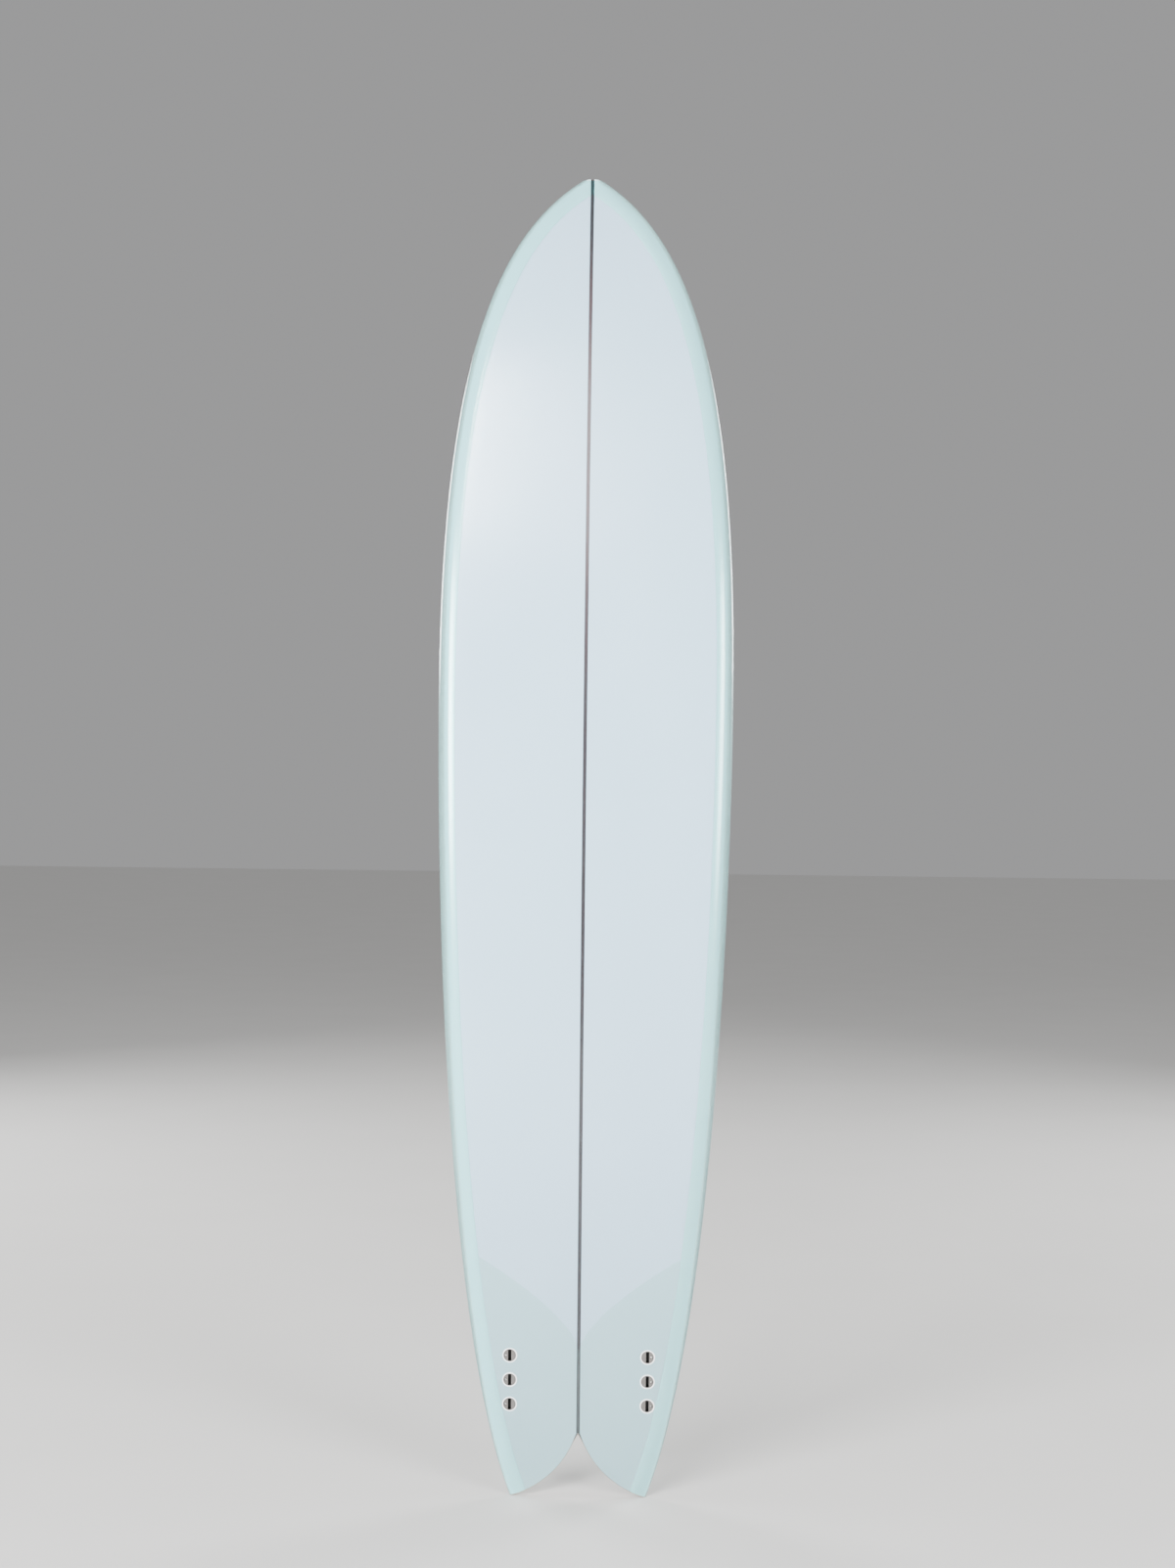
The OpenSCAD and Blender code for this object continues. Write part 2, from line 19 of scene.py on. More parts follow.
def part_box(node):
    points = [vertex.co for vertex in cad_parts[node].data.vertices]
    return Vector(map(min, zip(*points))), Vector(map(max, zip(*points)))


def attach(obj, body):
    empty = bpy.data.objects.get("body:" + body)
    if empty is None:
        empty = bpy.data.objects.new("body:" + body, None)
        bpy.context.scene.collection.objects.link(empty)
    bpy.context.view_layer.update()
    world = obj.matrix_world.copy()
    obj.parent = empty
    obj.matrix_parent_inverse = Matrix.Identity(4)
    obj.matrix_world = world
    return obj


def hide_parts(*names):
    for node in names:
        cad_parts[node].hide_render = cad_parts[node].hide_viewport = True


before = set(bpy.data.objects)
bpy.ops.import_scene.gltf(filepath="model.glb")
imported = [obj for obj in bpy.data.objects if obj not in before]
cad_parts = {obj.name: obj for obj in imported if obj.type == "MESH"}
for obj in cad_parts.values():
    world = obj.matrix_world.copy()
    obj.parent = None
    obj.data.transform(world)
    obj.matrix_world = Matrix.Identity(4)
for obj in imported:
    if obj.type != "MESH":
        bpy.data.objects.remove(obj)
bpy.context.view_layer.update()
ROOT = "root"
MM = 0.001

# %% [markdown]
# ## Camera
# The view is square on to the bottom from about board length and three quarters away, turned a
# little to the board's right, and rolled so that the nose leans slightly to the right. A normal
# lens at that distance keeps both rails nearly parallel.

# %% Camera
CAMERA_DISTANCE = 4.2
CAMERA_AZIMUTH = math.radians(1.4)
CAMERA_ROLL = math.radians(0.63)
CAMERA_LENS = 53.15            # mm, on a 36 mm sensor along the long side
AIM = Vector((0.0055, 0, 1.3096))

camera = bpy.data.objects.new("camera", bpy.data.cameras.new("camera"))
camera.data.lens = CAMERA_LENS
camera.data.sensor_width = 36
back = Vector((math.sin(CAMERA_AZIMUTH), -math.cos(CAMERA_AZIMUTH), 0))
camera.location = AIM + back * CAMERA_DISTANCE
camera.rotation_euler = (Matrix.Rotation(CAMERA_AZIMUTH, 3, "Z")
                         @ Matrix.Rotation(math.pi / 2, 3, "X")
                         @ Matrix.Rotation(CAMERA_ROLL, 3, "Z")).to_euler()
bpy.context.collection.objects.link(camera)
bpy.context.scene.camera = camera
print("camera at", [round(v, 3) for v in camera.location])

# %% [markdown]
# ## The board's form
# A shaper works from three drawings: the outline, the rocker, and a set of cross sections. Here
# each is a formula. The outline is two cubic curves that meet at the wide point, the rocker is a
# power curve each way from the flattest point, and a section is a flat bottom tucked up into the
# rail in a quarter ellipse, with a dome for the deck. Sizes that the frame holds are read from it.

# %% Driving sizes
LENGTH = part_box("nose_resin_tip")[1].z
HALF_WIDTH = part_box("deck_laminate")[1].x
STRINGER_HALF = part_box("stringer")[1].x
CORE_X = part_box("glue_line_right")[1].x          # where each foam half starts
FOAM_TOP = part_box("foam_blank_right")[1].z
FOAM_INSET = 2.0 * MM                            # glass outside the foam at the rail
BOTTOM_GLASS = 0.8 * MM
WIDE_POINT = 1.5
NOSE_TIP_HALF = 12.5 * MM
NOSE_ROUND = 4 * MM
TAIL_TIP_HALF = 0.125
SWALLOW_DEPTH = 0.118
SWALLOW_BULGE = 21 * MM
TAPE = 1 * MM
NOSE_ROCKER, TAIL_ROCKER, FLAT_POINT = 0.120, 0.055, 1.15
THICKNESS, NOSE_THICKNESS, TAIL_THICKNESS, THICK_POINT = 0.073, 0.013, 0.015, 1.26
RAIL_TUCK, RAIL_HEIGHT = 34 * MM, 0.38
LAP = 32 * MM
print("board", round(LENGTH, 4), "long,", round(2 * HALF_WIDTH, 4), "wide")

# %% Outline, rocker and section
def bezier(points, t):
    p = [np.array(q) for q in points]
    t = t[:, None]
    return (1 - t)**3 * p[0] + 3 * (1 - t)**2 * t * p[1] + 3 * (1 - t) * t**2 * p[2] + t**3 * p[3]


nose_run = LENGTH - WIDE_POINT
tail_curve = [(0, TAIL_TIP_HALF),
              (WIDE_POINT * 0.22, TAIL_TIP_HALF + (HALF_WIDTH - TAIL_TIP_HALF) * 0.893),
              (WIDE_POINT * 0.807, HALF_WIDTH), (WIDE_POINT, HALF_WIDTH)]
nose_curve = [(WIDE_POINT, HALF_WIDTH), (WIDE_POINT + nose_run * 0.618, HALF_WIDTH),
              (LENGTH - nose_run * 0.11, HALF_WIDTH * 0.664), (LENGTH, NOSE_TIP_HALF)]
steps = np.linspace(0, 1, 2000)
outline = np.vstack([bezier(tail_curve, steps), bezier(nose_curve, steps)[1:]])


def half_width(z):
    tip = np.clip((z - LENGTH + NOSE_ROUND) / NOSE_ROUND, 0, 1)
    return np.interp(z, outline[:, 0], outline[:, 1]) * np.sqrt(1 - tip**2)


def rocker(z):
    nose = NOSE_ROCKER * (np.maximum(z - FLAT_POINT, 0) / (LENGTH - FLAT_POINT))**2.3
    return nose + TAIL_ROCKER * (np.maximum(FLAT_POINT - z, 0) / FLAT_POINT)**2


def foam_thickness(z):
    to_nose = np.maximum(z - THICK_POINT, 0) / (LENGTH - THICK_POINT)
    to_tail = np.maximum(THICK_POINT - z, 0) / THICK_POINT
    full = THICKNESS - (THICKNESS - NOSE_THICKNESS) * to_nose**2
    return full - (THICKNESS - TAIL_THICKNESS) * to_tail**2.2 - FOAM_INSET


def bottom_height(x, z):
    w = half_width(z) - FOAM_INSET
    r = np.minimum(RAIL_TUCK, 0.6 * w)
    d = np.clip((r - w + x) / r, 0, 1)
    return rocker(z) + BOTTOM_GLASS + foam_thickness(z) * RAIL_HEIGHT * (1 - np.sqrt(1 - d**2))


def deck_height(x, z):
    w = half_width(z) - FOAM_INSET
    f = np.clip((x - CORE_X) / (w - CORE_X), 0, 1)
    t = foam_thickness(z)
    return rocker(z) + BOTTOM_GLASS + t * (RAIL_HEIGHT + (1 - RAIL_HEIGHT) * (1 - f**2.8)**0.62)


def inner_line(z, distance):
    """Half width of a line drawn inside the outline at a set distance, 0 past where it meets the middle."""
    run = np.vstack([outline[0] + (outline[0] - outline[1]) * 60, outline])
    along = np.gradient(run, axis=0)
    inward = np.column_stack([along[:, 1], -along[:, 0]])
    inward /= np.linalg.norm(inward, axis=1)[:, None]
    line = run + inward * distance
    line = line[line[:, 1] > 0]
    return np.where(z < line[-1, 0], np.interp(z, line[:, 0], line[:, 1]), 0)


# The swallow's edge is one arc from the crack to the tail tip.
tip_x = TAIL_TIP_HALF - FOAM_INSET
chord = math.hypot(tip_x - CORE_X, SWALLOW_DEPTH)
arc_radius = chord**2 / (8 * SWALLOW_BULGE) + SWALLOW_BULGE / 2
arc_x = (CORE_X + tip_x) / 2 + SWALLOW_DEPTH / chord * (arc_radius - SWALLOW_BULGE)
arc_z = SWALLOW_DEPTH / 2 + TAPE + (tip_x - CORE_X) / chord * (arc_radius - SWALLOW_BULGE)


def swallow(x):
    return np.where(x <= CORE_X, SWALLOW_DEPTH + TAPE,
                    arc_z - np.sqrt(np.maximum(arc_radius**2 - (x - arc_x)**2, 0)))


print("swallow arc radius", round(arc_radius * 1000, 1), "mm")

# %% [markdown]
# ## A grid of points over the board
# All the sheets share one way of laying out points. Columns run along the board, each at a place
# across it that changes with the outline, and rows run across it. The lowest rows bend until the
# last one lies along the swallow's edge. A sheet is then pushed outwards along the surface's own
# direction, which keeps the layers from cutting through each other.

# %% Grid helpers
TAIL_JOIN = 0.32
tail_shares = np.linspace(1, 0, 41)[:-1]**1.2
nose_shares = np.sin(np.linspace(0, math.pi / 2, 180))


def swallow_end(x_of):
    """Height at which a column meets the swallow's edge."""
    low, high = np.zeros(1), np.full(1, SWALLOW_DEPTH + TAPE)
    for _ in range(40):
        middle = (low + high) / 2
        below = middle < swallow(x_of(middle))
        low, high = np.where(below, middle, low), np.where(below, high, middle)
    return high[0]


def board_heights(x_of):
    """Heights of a column that runs all the way to the nose."""
    tail = TAIL_JOIN - (TAIL_JOIN - swallow_end(x_of)) * tail_shares
    return np.concatenate([tail, TAIL_JOIN + (FOAM_TOP - TAIL_JOIN) * nose_shares])


def grid(columns, heights=board_heights):
    """Points and outward directions of the columns, each a pair of place across and face."""
    lines = []
    for x_of, face in columns:
        z = heights(x_of)
        x = np.minimum(x_of(z), half_width(z) - FOAM_INSET)
        lines.append(np.stack([x, face(x, z), z], axis=-1))
    points = np.stack(lines, axis=1)
    across, along = np.gradient(points, axis=1), np.gradient(points, axis=0)
    out = np.cross(across, along)
    out[..., 0][points[..., 0] < CORE_X * 1.01] = 0
    return points, out / np.linalg.norm(out, axis=-1)[..., None]


def tucked(share):
    """Place across, round the tuck of the rail: 0 where the flat ends, 1 at the widest line."""
    turn = math.sin(share * math.pi / 2)

    def place(z):
        w = half_width(z) - FOAM_INSET
        return w - np.minimum(RAIL_TUCK, 0.6 * w) * (1 - turn)
    return place


def flat(share, start):
    """Place across, from start at the middle to the edge of the flat."""
    return lambda z: start + share * (tucked(0)(z) - start)


FLAT_SHARES = np.linspace(0, 1, 13)[:-1]
TUCK_SHARES = np.linspace(0, 1, 19)


def half_section(start):
    return [flat(s, start) for s in FLAT_SHARES] + [tucked(s) for s in TUCK_SHARES]


APEX = len(FLAT_SHARES) + len(TUCK_SHARES) - 1       # number of the widest line's column
print("rows", len(tail_shares) + len(nose_shares), "columns a side", 2 * APEX + 1)

# %% [markdown]
# ## Making meshes
# The grids become closed meshes with bmesh. A sheet of cloth and resin is two copies of its grid,
# an outside and an inside, joined along their edges, so it can be thick over the rail and run out
# to almost nothing at a cut line, as sanded cloth does. One half is made and the other mirrored.

# %% Mesh helpers
def new_object(name, mesh):
    item = bpy.data.objects.new(name, mesh)
    bpy.context.collection.objects.link(item)
    return item


def mesh_from(name, points, faces, finishes=None, merge=2e-6):
    """A mesh object from points and faces, with doubles merged."""
    mesh = bpy.data.meshes.new(name)
    mesh.from_pydata([tuple(p) for p in points], [], [tuple(f) for f in faces])
    if finishes is not None:
        mesh.polygons.foreach_set("material_index", finishes)
    bm = bmesh.new()
    bm.from_mesh(mesh)
    bmesh.ops.remove_doubles(bm, verts=bm.verts, dist=merge)
    bm.to_mesh(mesh)
    bm.free()
    return new_object(name, mesh)


def volume(item):
    bm = bmesh.new()
    bm.from_mesh(item.data)
    size = bm.calc_volume(signed=True)
    bm.free()
    return size * 1e6


def closed(item):
    """Turns a closed mesh's faces outwards."""
    bm = bmesh.new()
    bm.from_mesh(item.data)
    bmesh.ops.recalc_face_normals(bm, faces=bm.faces)
    if bm.calc_volume(signed=True) < 0:
        bmesh.ops.reverse_faces(bm, faces=bm.faces)
    bm.to_mesh(item.data)
    bm.free()
    return item


def settle(item):
    """Replaces an object's mesh by its evaluated one and removes its modifiers."""
    evaluated = item.evaluated_get(bpy.context.evaluated_depsgraph_get())
    mesh = bpy.data.meshes.new_from_object(evaluated)
    item.modifiers.clear()
    item.data = mesh
    return item


def report(item):
    print(item.name, len(item.data.polygons), "faces,", round(volume(item), 2), "cm3")
    return item


def quads(rows, columns):
    """Faces between neighbouring points of a grid, as rows of point numbers."""
    a = np.arange((rows - 1) * columns).reshape(rows - 1, columns)[:, :-1].ravel()
    return np.stack([a, a + 1, a + 1 + columns, a + columns], axis=1)


def sheet(name, points, out, inside, outside):
    """A closed sheet on both halves of the board, between two distances off a grid."""
    rows, columns = points.shape[:2]
    skin = [points + out * np.broadcast_to(d, (rows, columns))[..., None] for d in (outside, inside)]
    for layer in skin:
        layer[..., 0][points[..., 0] < 1e-7] = 0
        layer[..., 2] = np.clip(layer[..., 2], 0, FOAM_TOP)
    half = np.concatenate([layer.reshape(-1, 3) for layer in skin])
    total = rows * columns
    outer = quads(rows, columns)
    edges = [np.arange(columns), (rows - 1) * columns + np.arange(columns)[::-1],
             (columns - 1) + columns * np.arange(rows), (columns * np.arange(rows))[::-1]]
    rim = [np.stack([e[1:], e[:-1], e[:-1] + total, e[1:] + total], axis=1) for e in edges]
    rim = np.concatenate(rim)
    rim = rim[half[rim, 0].max(axis=1) > 1e-7]       # no wall down the middle of the board
    right = np.concatenate([outer, rim, outer[:, ::-1] + total])
    left = right[:, ::-1] + len(half)
    finishes = np.tile(np.repeat([0, 1], [len(outer) + len(rim), len(outer)]), 2)
    return mesh_from(name, np.vstack([half, half * (-1, 1, 1)]), np.vstack([right, left]), finishes)


def lathe(name, profile, segments=96):
    """A turned piece about Z from a closed profile of radius and height."""
    turns = np.linspace(0, math.tau, segments, endpoint=False)
    points = [(r * math.cos(t), r * math.sin(t), z) for t in turns for r, z in profile]
    n = len(profile)
    faces = []
    for s in range(segments):
        for k in range(n):
            a, b = s * n + k, s * n + (k + 1) % n
            c, d = (b + n) % (n * segments), (a + n) % (n * segments)
            corners = [a, b, c, d]
            if profile[k][0] == 0 and profile[(k + 1) % n][0] == 0:
                continue
            if profile[k][0] == 0:
                corners = [a, b, c]
            elif profile[(k + 1) % n][0] == 0:
                corners = [a, b, d]
            faces.append(corners)
    item = mesh_from(name, points, faces, merge=1e-7)
    return closed(item)


def cut(item, *cutters):
    """Cuts closed meshes out of another, and leaves the cutters as they are."""
    for cutter in cutters:
        hole = item.modifiers.new("pocket", "BOOLEAN")
        hole.object, hole.operation, hole.solver = cutter, "DIFFERENCE", "EXACT"
    return settle(item)


def scrap(*items):
    for item in items:
        bpy.data.objects.remove(item)

# %% [markdown]
# ## Materials
# Everything clear on a board is polyester or epoxy resin, IOR about 1.55, and it is sanded and
# polished, so it mirrors softly. A tinted sheet of it is built from what it does to light: it
# lets the light through with a little colour taken out, its glass threads scatter part of it back
# nearly white, and its skin mirrors by Fresnel. Nothing is bent, because the sheet is under a
# millimetre thick. Each shell is given a second finish for its inner face, which only passes light.
# Dressing the pieces, further down, undoes that: see the note there.

# %% Material helpers
def paint(hex_colour):
    """An sRGB hex colour as the linear one that the shaders take."""
    parts = [int(hex_colour[k:k + 2], 16) / 255 for k in (1, 3, 5)]
    return [c / 12.92 if c <= 0.04045 else ((c + 0.055) / 1.055)**2.4 for c in parts] + [1]


def add(tree, kind, inputs=None, **settings):
    """Adds a node, sets its properties, and fills or links its inputs by name or number."""
    item = tree.nodes.new(kind)
    for key, value in settings.items():
        setattr(item, key, value)
    for key, value in (inputs or {}).items():
        if isinstance(value, bpy.types.NodeSocket):
            tree.links.new(value, item.inputs[key])
        else:
            item.inputs[key].default_value = value
    return item


def new_material(name):
    item = bpy.data.materials.new(name)
    item.use_nodes = True
    item.node_tree.nodes.clear()
    return item, item.node_tree


def show(tree, shader):
    add(tree, "ShaderNodeOutputMaterial", {"Surface": shader})


def board_place(tree, scale=(1, 1, 1)):
    """Object coordinates, stretched by scale."""
    place = add(tree, "ShaderNodeTexCoord").outputs["Object"]
    return add(tree, "ShaderNodeMapping", {"Vector": place, "Scale": scale}).outputs["Vector"]


def speckle(tree, size, place, detail=2.0, rough=0.5):
    """Noise whose features are about size metres across."""
    return add(tree, "ShaderNodeTexNoise", {
        "Vector": place, "Scale": 1 / size, "Detail": detail, "Roughness": rough}).outputs["Fac"]


def between(tree, factor, low, high):
    """A value that runs from low to high as factor runs from 0.3 to 0.7."""
    return add(tree, "ShaderNodeMapRange", {
        "Value": factor, "From Min": 0.3, "From Max": 0.7, "To Min": low, "To Max": high}
    ).outputs["Result"]


def blend_colours(tree, factor, one, other):
    return add(tree, "ShaderNodeMix", {"Factor": factor, 6: one, 7: other},
               data_type="RGBA").outputs[2]


def bumped(tree, height, depth, strength=1.0):
    return add(tree, "ShaderNodeBump", {
        "Height": height, "Distance": depth, "Strength": strength}).outputs["Normal"]

# %% Foam: polyurethane blank, planed and sanded
def foam_material():
    """Closed-cell foam: matt blue-white, with a faint open grain where the sander cut cells."""
    item, tree = new_material("polyurethane_foam_sanded")
    place = board_place(tree)
    cells = speckle(tree, 1.2 * MM, place, 3)       # real cells are 0.2 mm, too fine to show
    clouds = speckle(tree, 180 * MM, place, 2)
    colour = blend_colours(tree, clouds, paint("#CBDAE1"), paint("#D3E0E6"))
    show(tree, add(tree, "ShaderNodeBsdfPrincipled", {
        "Base Color": colour, "Roughness": between(tree, cells, 0.6, 0.8), "IOR": 1.45,
        "Normal": bumped(tree, cells, 0.1 * MM, 0.3)}).outputs["BSDF"])
    return item


# %% Wood: a red cedar stringer, sawn and sealed
def wood_material():
    """Quarter-sawn red cedar: fine lines along the plank, dark at its ends and red between."""
    item, tree = new_material("red_cedar_sawn")
    fine = speckle(tree, 0.5 * MM, board_place(tree, (1, 1, 0.02)), 4)
    broad = speckle(tree, 90 * MM, board_place(tree), 2)
    height = add(tree, "ShaderNodeSeparateXYZ", {0: board_place(tree)}).outputs["Z"]
    share = add(tree, "ShaderNodeMapRange", {"Value": height, "From Max": LENGTH}).outputs["Result"]
    ramp = add(tree, "ShaderNodeValToRGB", {"Fac": share})
    stops = [(0.0, "#240A08"), (0.3, "#270907"), (0.6, "#330C09"), (0.76, "#5E1E18"),
             (0.9, "#501B17"), (0.96, "#200D0C"), (1.0, "#170C0C")]
    for place, colour in stops[1:-1]:
        ramp.color_ramp.elements.new(place)
    for element, (place, colour) in zip(ramp.color_ramp.elements, stops):
        element.position, element.color = place, paint(colour)
    board = blend_colours(tree, between(tree, broad, 0, 0.3), ramp.outputs["Color"], paint("#180604"))
    grain = blend_colours(tree, between(tree, fine, 0, 0.5), board, paint("#120403"))
    show(tree, add(tree, "ShaderNodeBsdfPrincipled", {
        "Base Color": grain, "Roughness": between(tree, fine, 0.35, 0.5), "IOR": 1.5,
        "Normal": bumped(tree, fine, 0.1 * MM, 0.2)}).outputs["BSDF"])
    return item


# %% Glue: dark set resin glue
def glue_material():
    """Set glue squeezed between foam and wood: a thin dark line, half gloss."""
    item, tree = new_material("resin_glue_set")
    patchy = speckle(tree, 9 * MM, board_place(tree, (1, 1, 0.3)), 3)
    show(tree, add(tree, "ShaderNodeBsdfPrincipled", {
        "Base Color": blend_colours(tree, patchy, paint("#1C0907"), paint("#2C0F0B")),
        "Roughness": between(tree, patchy, 0.25, 0.4), "IOR": 1.5}).outputs["BSDF"])
    return item


# %% Laminate: woven glass in tinted resin
THREAD = 1.4 * MM                                  # 18 threads to the inch
OVER_PLANK, BESIDE_PLANK = 3.2 * MM, 4.2 * MM      # from the middle: threads hidden, threads seen
WAVE = math.tau / 20 / THREAD / 2                  # scale of a wave texture with that thread


def laminate_materials(name, tint, cloth, cloth_share):
    """Outer and inner material of a sheet. tint is what one face lets through, cloth the colour of
    its threads and cloth_share how much of them shows. The outer face has the polished gloss coat."""
    made = []
    for place_in_shell in ("outer", "inner"):
        item, tree = new_material(f"{name}_{place_in_shell}")
        place = board_place(tree)
        clear = add(tree, "ShaderNodeBsdfTransparent", {"Color": paint(tint)}).outputs["BSDF"]
        if place_in_shell == "inner":
            show(tree, clear)
            made.append(item)
            continue
        warp = add(tree, "ShaderNodeTexWave", {
            "Vector": place, "Scale": WAVE, "Distortion": 0.4},
            bands_direction="X").outputs["Fac"]
        weft = add(tree, "ShaderNodeTexWave", {
            "Vector": place, "Scale": WAVE, "Distortion": 0.4},
            bands_direction="Z").outputs["Fac"]
        weave = add(tree, "ShaderNodeMath", {0: warp, 1: weft}, operation="MULTIPLY").outputs[0]
        streaks = speckle(tree, 260 * MM, board_place(tree, (1, 1, 0.5)), 2)
        share = add(tree, "ShaderNodeMapRange", {
            "Value": weave, "To Min": cloth_share * 0.8, "To Max": cloth_share * 1.2}
        ).outputs["Result"]
        # Wetted threads shine by the light of the foam behind them, so over the plank they vanish.
        x = add(tree, "ShaderNodeSeparateXYZ", {0: place}).outputs["X"]
        off = add(tree, "ShaderNodeMath", {0: x}, operation="ABSOLUTE").outputs[0]
        beside = add(tree, "ShaderNodeMapRange", {
            "Value": off, "From Min": OVER_PLANK, "From Max": BESIDE_PLANK}
        ).outputs["Result"]
        share = add(tree, "ShaderNodeMath", {0: share, 1: beside}, operation="MULTIPLY").outputs[0]
        ripple = speckle(tree, 60 * MM, place, 1)
        polish = bumped(tree, ripple, 0.3 * MM, 0.15)
        threads = add(tree, "ShaderNodeBsdfDiffuse", {
            "Color": paint(cloth), "Normal": polish}).outputs["BSDF"]
        body = add(tree, "ShaderNodeMixShader", {0: share, 1: clear, 2: threads}).outputs[0]
        gloss = add(tree, "ShaderNodeBsdfAnisotropic", {
            "Color": (1, 1, 1, 1), "Roughness": between(tree, streaks, 0.16, 0.24),
            "Normal": polish}).outputs["BSDF"]
        skin = add(tree, "ShaderNodeFresnel", {"IOR": 1.5, "Normal": polish}).outputs["Fac"]
        show(tree, add(tree, "ShaderNodeMixShader", {0: skin, 1: body, 2: gloss}).outputs[0])
        made.append(item)
    return made


# %% Resin, plastic and steel
def plain_material(name, low, high, rough, size, metallic=0.0, ior=1.5, grain=(1, 1, 1), depth=0.05):
    """A finish with two close colours, a roughness that varies with them, and a fine bump."""
    item, tree = new_material(name)
    fine = speckle(tree, size, board_place(tree, grain), 3)
    show(tree, add(tree, "ShaderNodeBsdfPrincipled", {
        "Base Color": blend_colours(tree, fine, paint(low), paint(high)), "Metallic": metallic,
        "Roughness": between(tree, fine, rough * 0.8, rough * 1.2), "IOR": ior,
        "Normal": bumped(tree, fine, depth * MM, 0.4)}).outputs["BSDF"])
    return item


def nose_material():
    """A bead of pale resin, with the dark end of the stringer showing through its middle."""
    item, tree = new_material("bare_resin_over_cedar")
    x = add(tree, "ShaderNodeSeparateXYZ", {0: board_place(tree)}).outputs["X"]
    off = add(tree, "ShaderNodeMath", {0: x}, operation="ABSOLUTE").outputs[0]
    wood = add(tree, "ShaderNodeMapRange", {"Value": off, "From Min": 2.9 * MM, "From Max": 3.6 * MM}
               ).outputs["Result"]
    cloud = speckle(tree, 5 * MM, board_place(tree))
    resin = blend_colours(tree, cloud, paint("#BFDDE2"), paint("#D2E9EC"))
    show(tree, add(tree, "ShaderNodeBsdfPrincipled", {
        "Base Color": blend_colours(tree, wood, paint("#2B2426"), resin),
        "Roughness": between(tree, cloud, 0.2, 0.3), "IOR": 1.55,
        "Normal": bumped(tree, cloud, 0.1 * MM, 0.3)}).outputs["BSDF"])
    return item


FOAM, CEDAR, GLUE = foam_material(), wood_material(), glue_material()
NOSE_RESIN = nose_material()
BOTTOM_CLOTH = laminate_materials("bottom_cloth_in_pale_resin", "#F5FBFF", "#E0ECF8", 0.04)
DECK_CLOTH = laminate_materials("deck_cloth_in_aqua_resin", "#ECFFFF", "#C6FFFF", 0.26)
PATCH_CLOTH = laminate_materials("patch_cloth_in_clear_resin", "#F9FFFF", "#D8FFFF", 0.12)
TAPE_RESIN = plain_material("cloth_tape_in_clear_resin", "#6E5A48", "#8C7762", 0.3, 4 * MM)
WHITE_RESIN = plain_material("white_filled_resin_polished", "#E8EDEF", "#F4F6F7", 0.22, 3 * MM)
PLUG_PLASTIC = plain_material("black_nylon_sanded_grey", "#4A4745", "#5F5B58", 0.45, 0.6 * MM)
# Inside the plugs: black moulded nylon, made far darker than real nylon so that it also paints the shade deep
# in the slot and screw hole.
SLOT_NYLON_AND_PAINTED_SHADE = plain_material("black_nylon_with_painted_slot_shade", "#060505", "#0D0C0B", 0.5, 1.5 * MM)
CUP_PLASTIC = plain_material("white_polycarbonate_moulded", "#DDE0E1", "#E9EBEC", 0.3, 2 * MM)
STEEL = plain_material("stainless_steel_turned", "#B4B3B2", "#CFCECC", 0.3, 0.5 * MM, 1.0, 1.5,
                       (1, 1, 8))
print("materials", len(bpy.data.materials))

# %% [markdown]
# ## Foam blank and stringer
# The blank is sawn down the middle and glued back on each side of a cedar plank, which keeps the
# board from snapping and holds its rocker. Each half is one closed mesh, whose bottom and deck
# share their columns, so the cut end at the swallow is a simple strip between them. The plank's
# side view is the same rocker, because shaper and saw follow the same line.

# %% Foam halves, stringer and glue lines
def foam_half(name, side):
    section = half_section(CORE_X)
    columns = [(c, bottom_height) for c in section] + [(c, deck_height) for c in section[-2::-1]]
    points, _ = grid(columns)
    rows, n = points.shape[:2]
    faces = quads(rows, n).tolist()
    faces += [(i * n, (i + 1) * n, (i + 2) * n - 1, (i + 1) * n - 1) for i in range(rows - 1)]
    for start in (0, (rows - 1) * n):
        faces += [(start + k, start + k + 1, start + n - 2 - k, start + n - 1 - k)
                  for k in range(APEX - 1)]
        faces.append((start + APEX - 1, start + APEX, start + APEX + 1))
    return closed(mesh_from(name, points.reshape(-1, 3) * (side, 1, 1), faces))


def plank(name, x_low, x_high):
    z = board_heights(lambda z: z * 0)
    x = np.full_like(z, 0)
    low, high = bottom_height(x, z), deck_height(x, z)
    corners = [(x_low, low), (x_high, low), (x_high, high), (x_low, high)]
    points = np.stack([np.stack([np.full_like(z, px), y, z], axis=-1) for px, y in corners], axis=1)
    faces = [(4 * i + k, 4 * i + (k + 1) % 4, 4 * i + 4 + (k + 1) % 4, 4 * i + 4 + k)
             for i in range(len(z) - 1) for k in range(4)]
    faces += [(0, 1, 2, 3), tuple(4 * (len(z) - 1) + k for k in range(4))]
    return closed(mesh_from(name, points.reshape(-1, 3), faces))


foam_left, foam_right = foam_half("foam_core_left", -1), foam_half("foam_core_right", 1)
stringer = plank("cedar_stringer", -STRINGER_HALF, STRINGER_HALF)
glue_left = plank("glue_joint_left", -CORE_X, -STRINGER_HALF)
glue_right = plank("glue_joint_right", STRINGER_HALF, CORE_X)
for item in (foam_left, foam_right, stringer, glue_left, glue_right):
    report(item)

# %% [markdown]
# ## Cloth and resin
# The bottom is laminated first and its edge turned over the rail onto the deck. Then the board is
# flipped, and the deck's cloth is wrapped round the rail and cut clean along a line 32 mm inside
# the outline. Sanding thins it towards that line. Layers must not touch in a render, so each
# starts a few hundredths of a millimetre outside the one below.

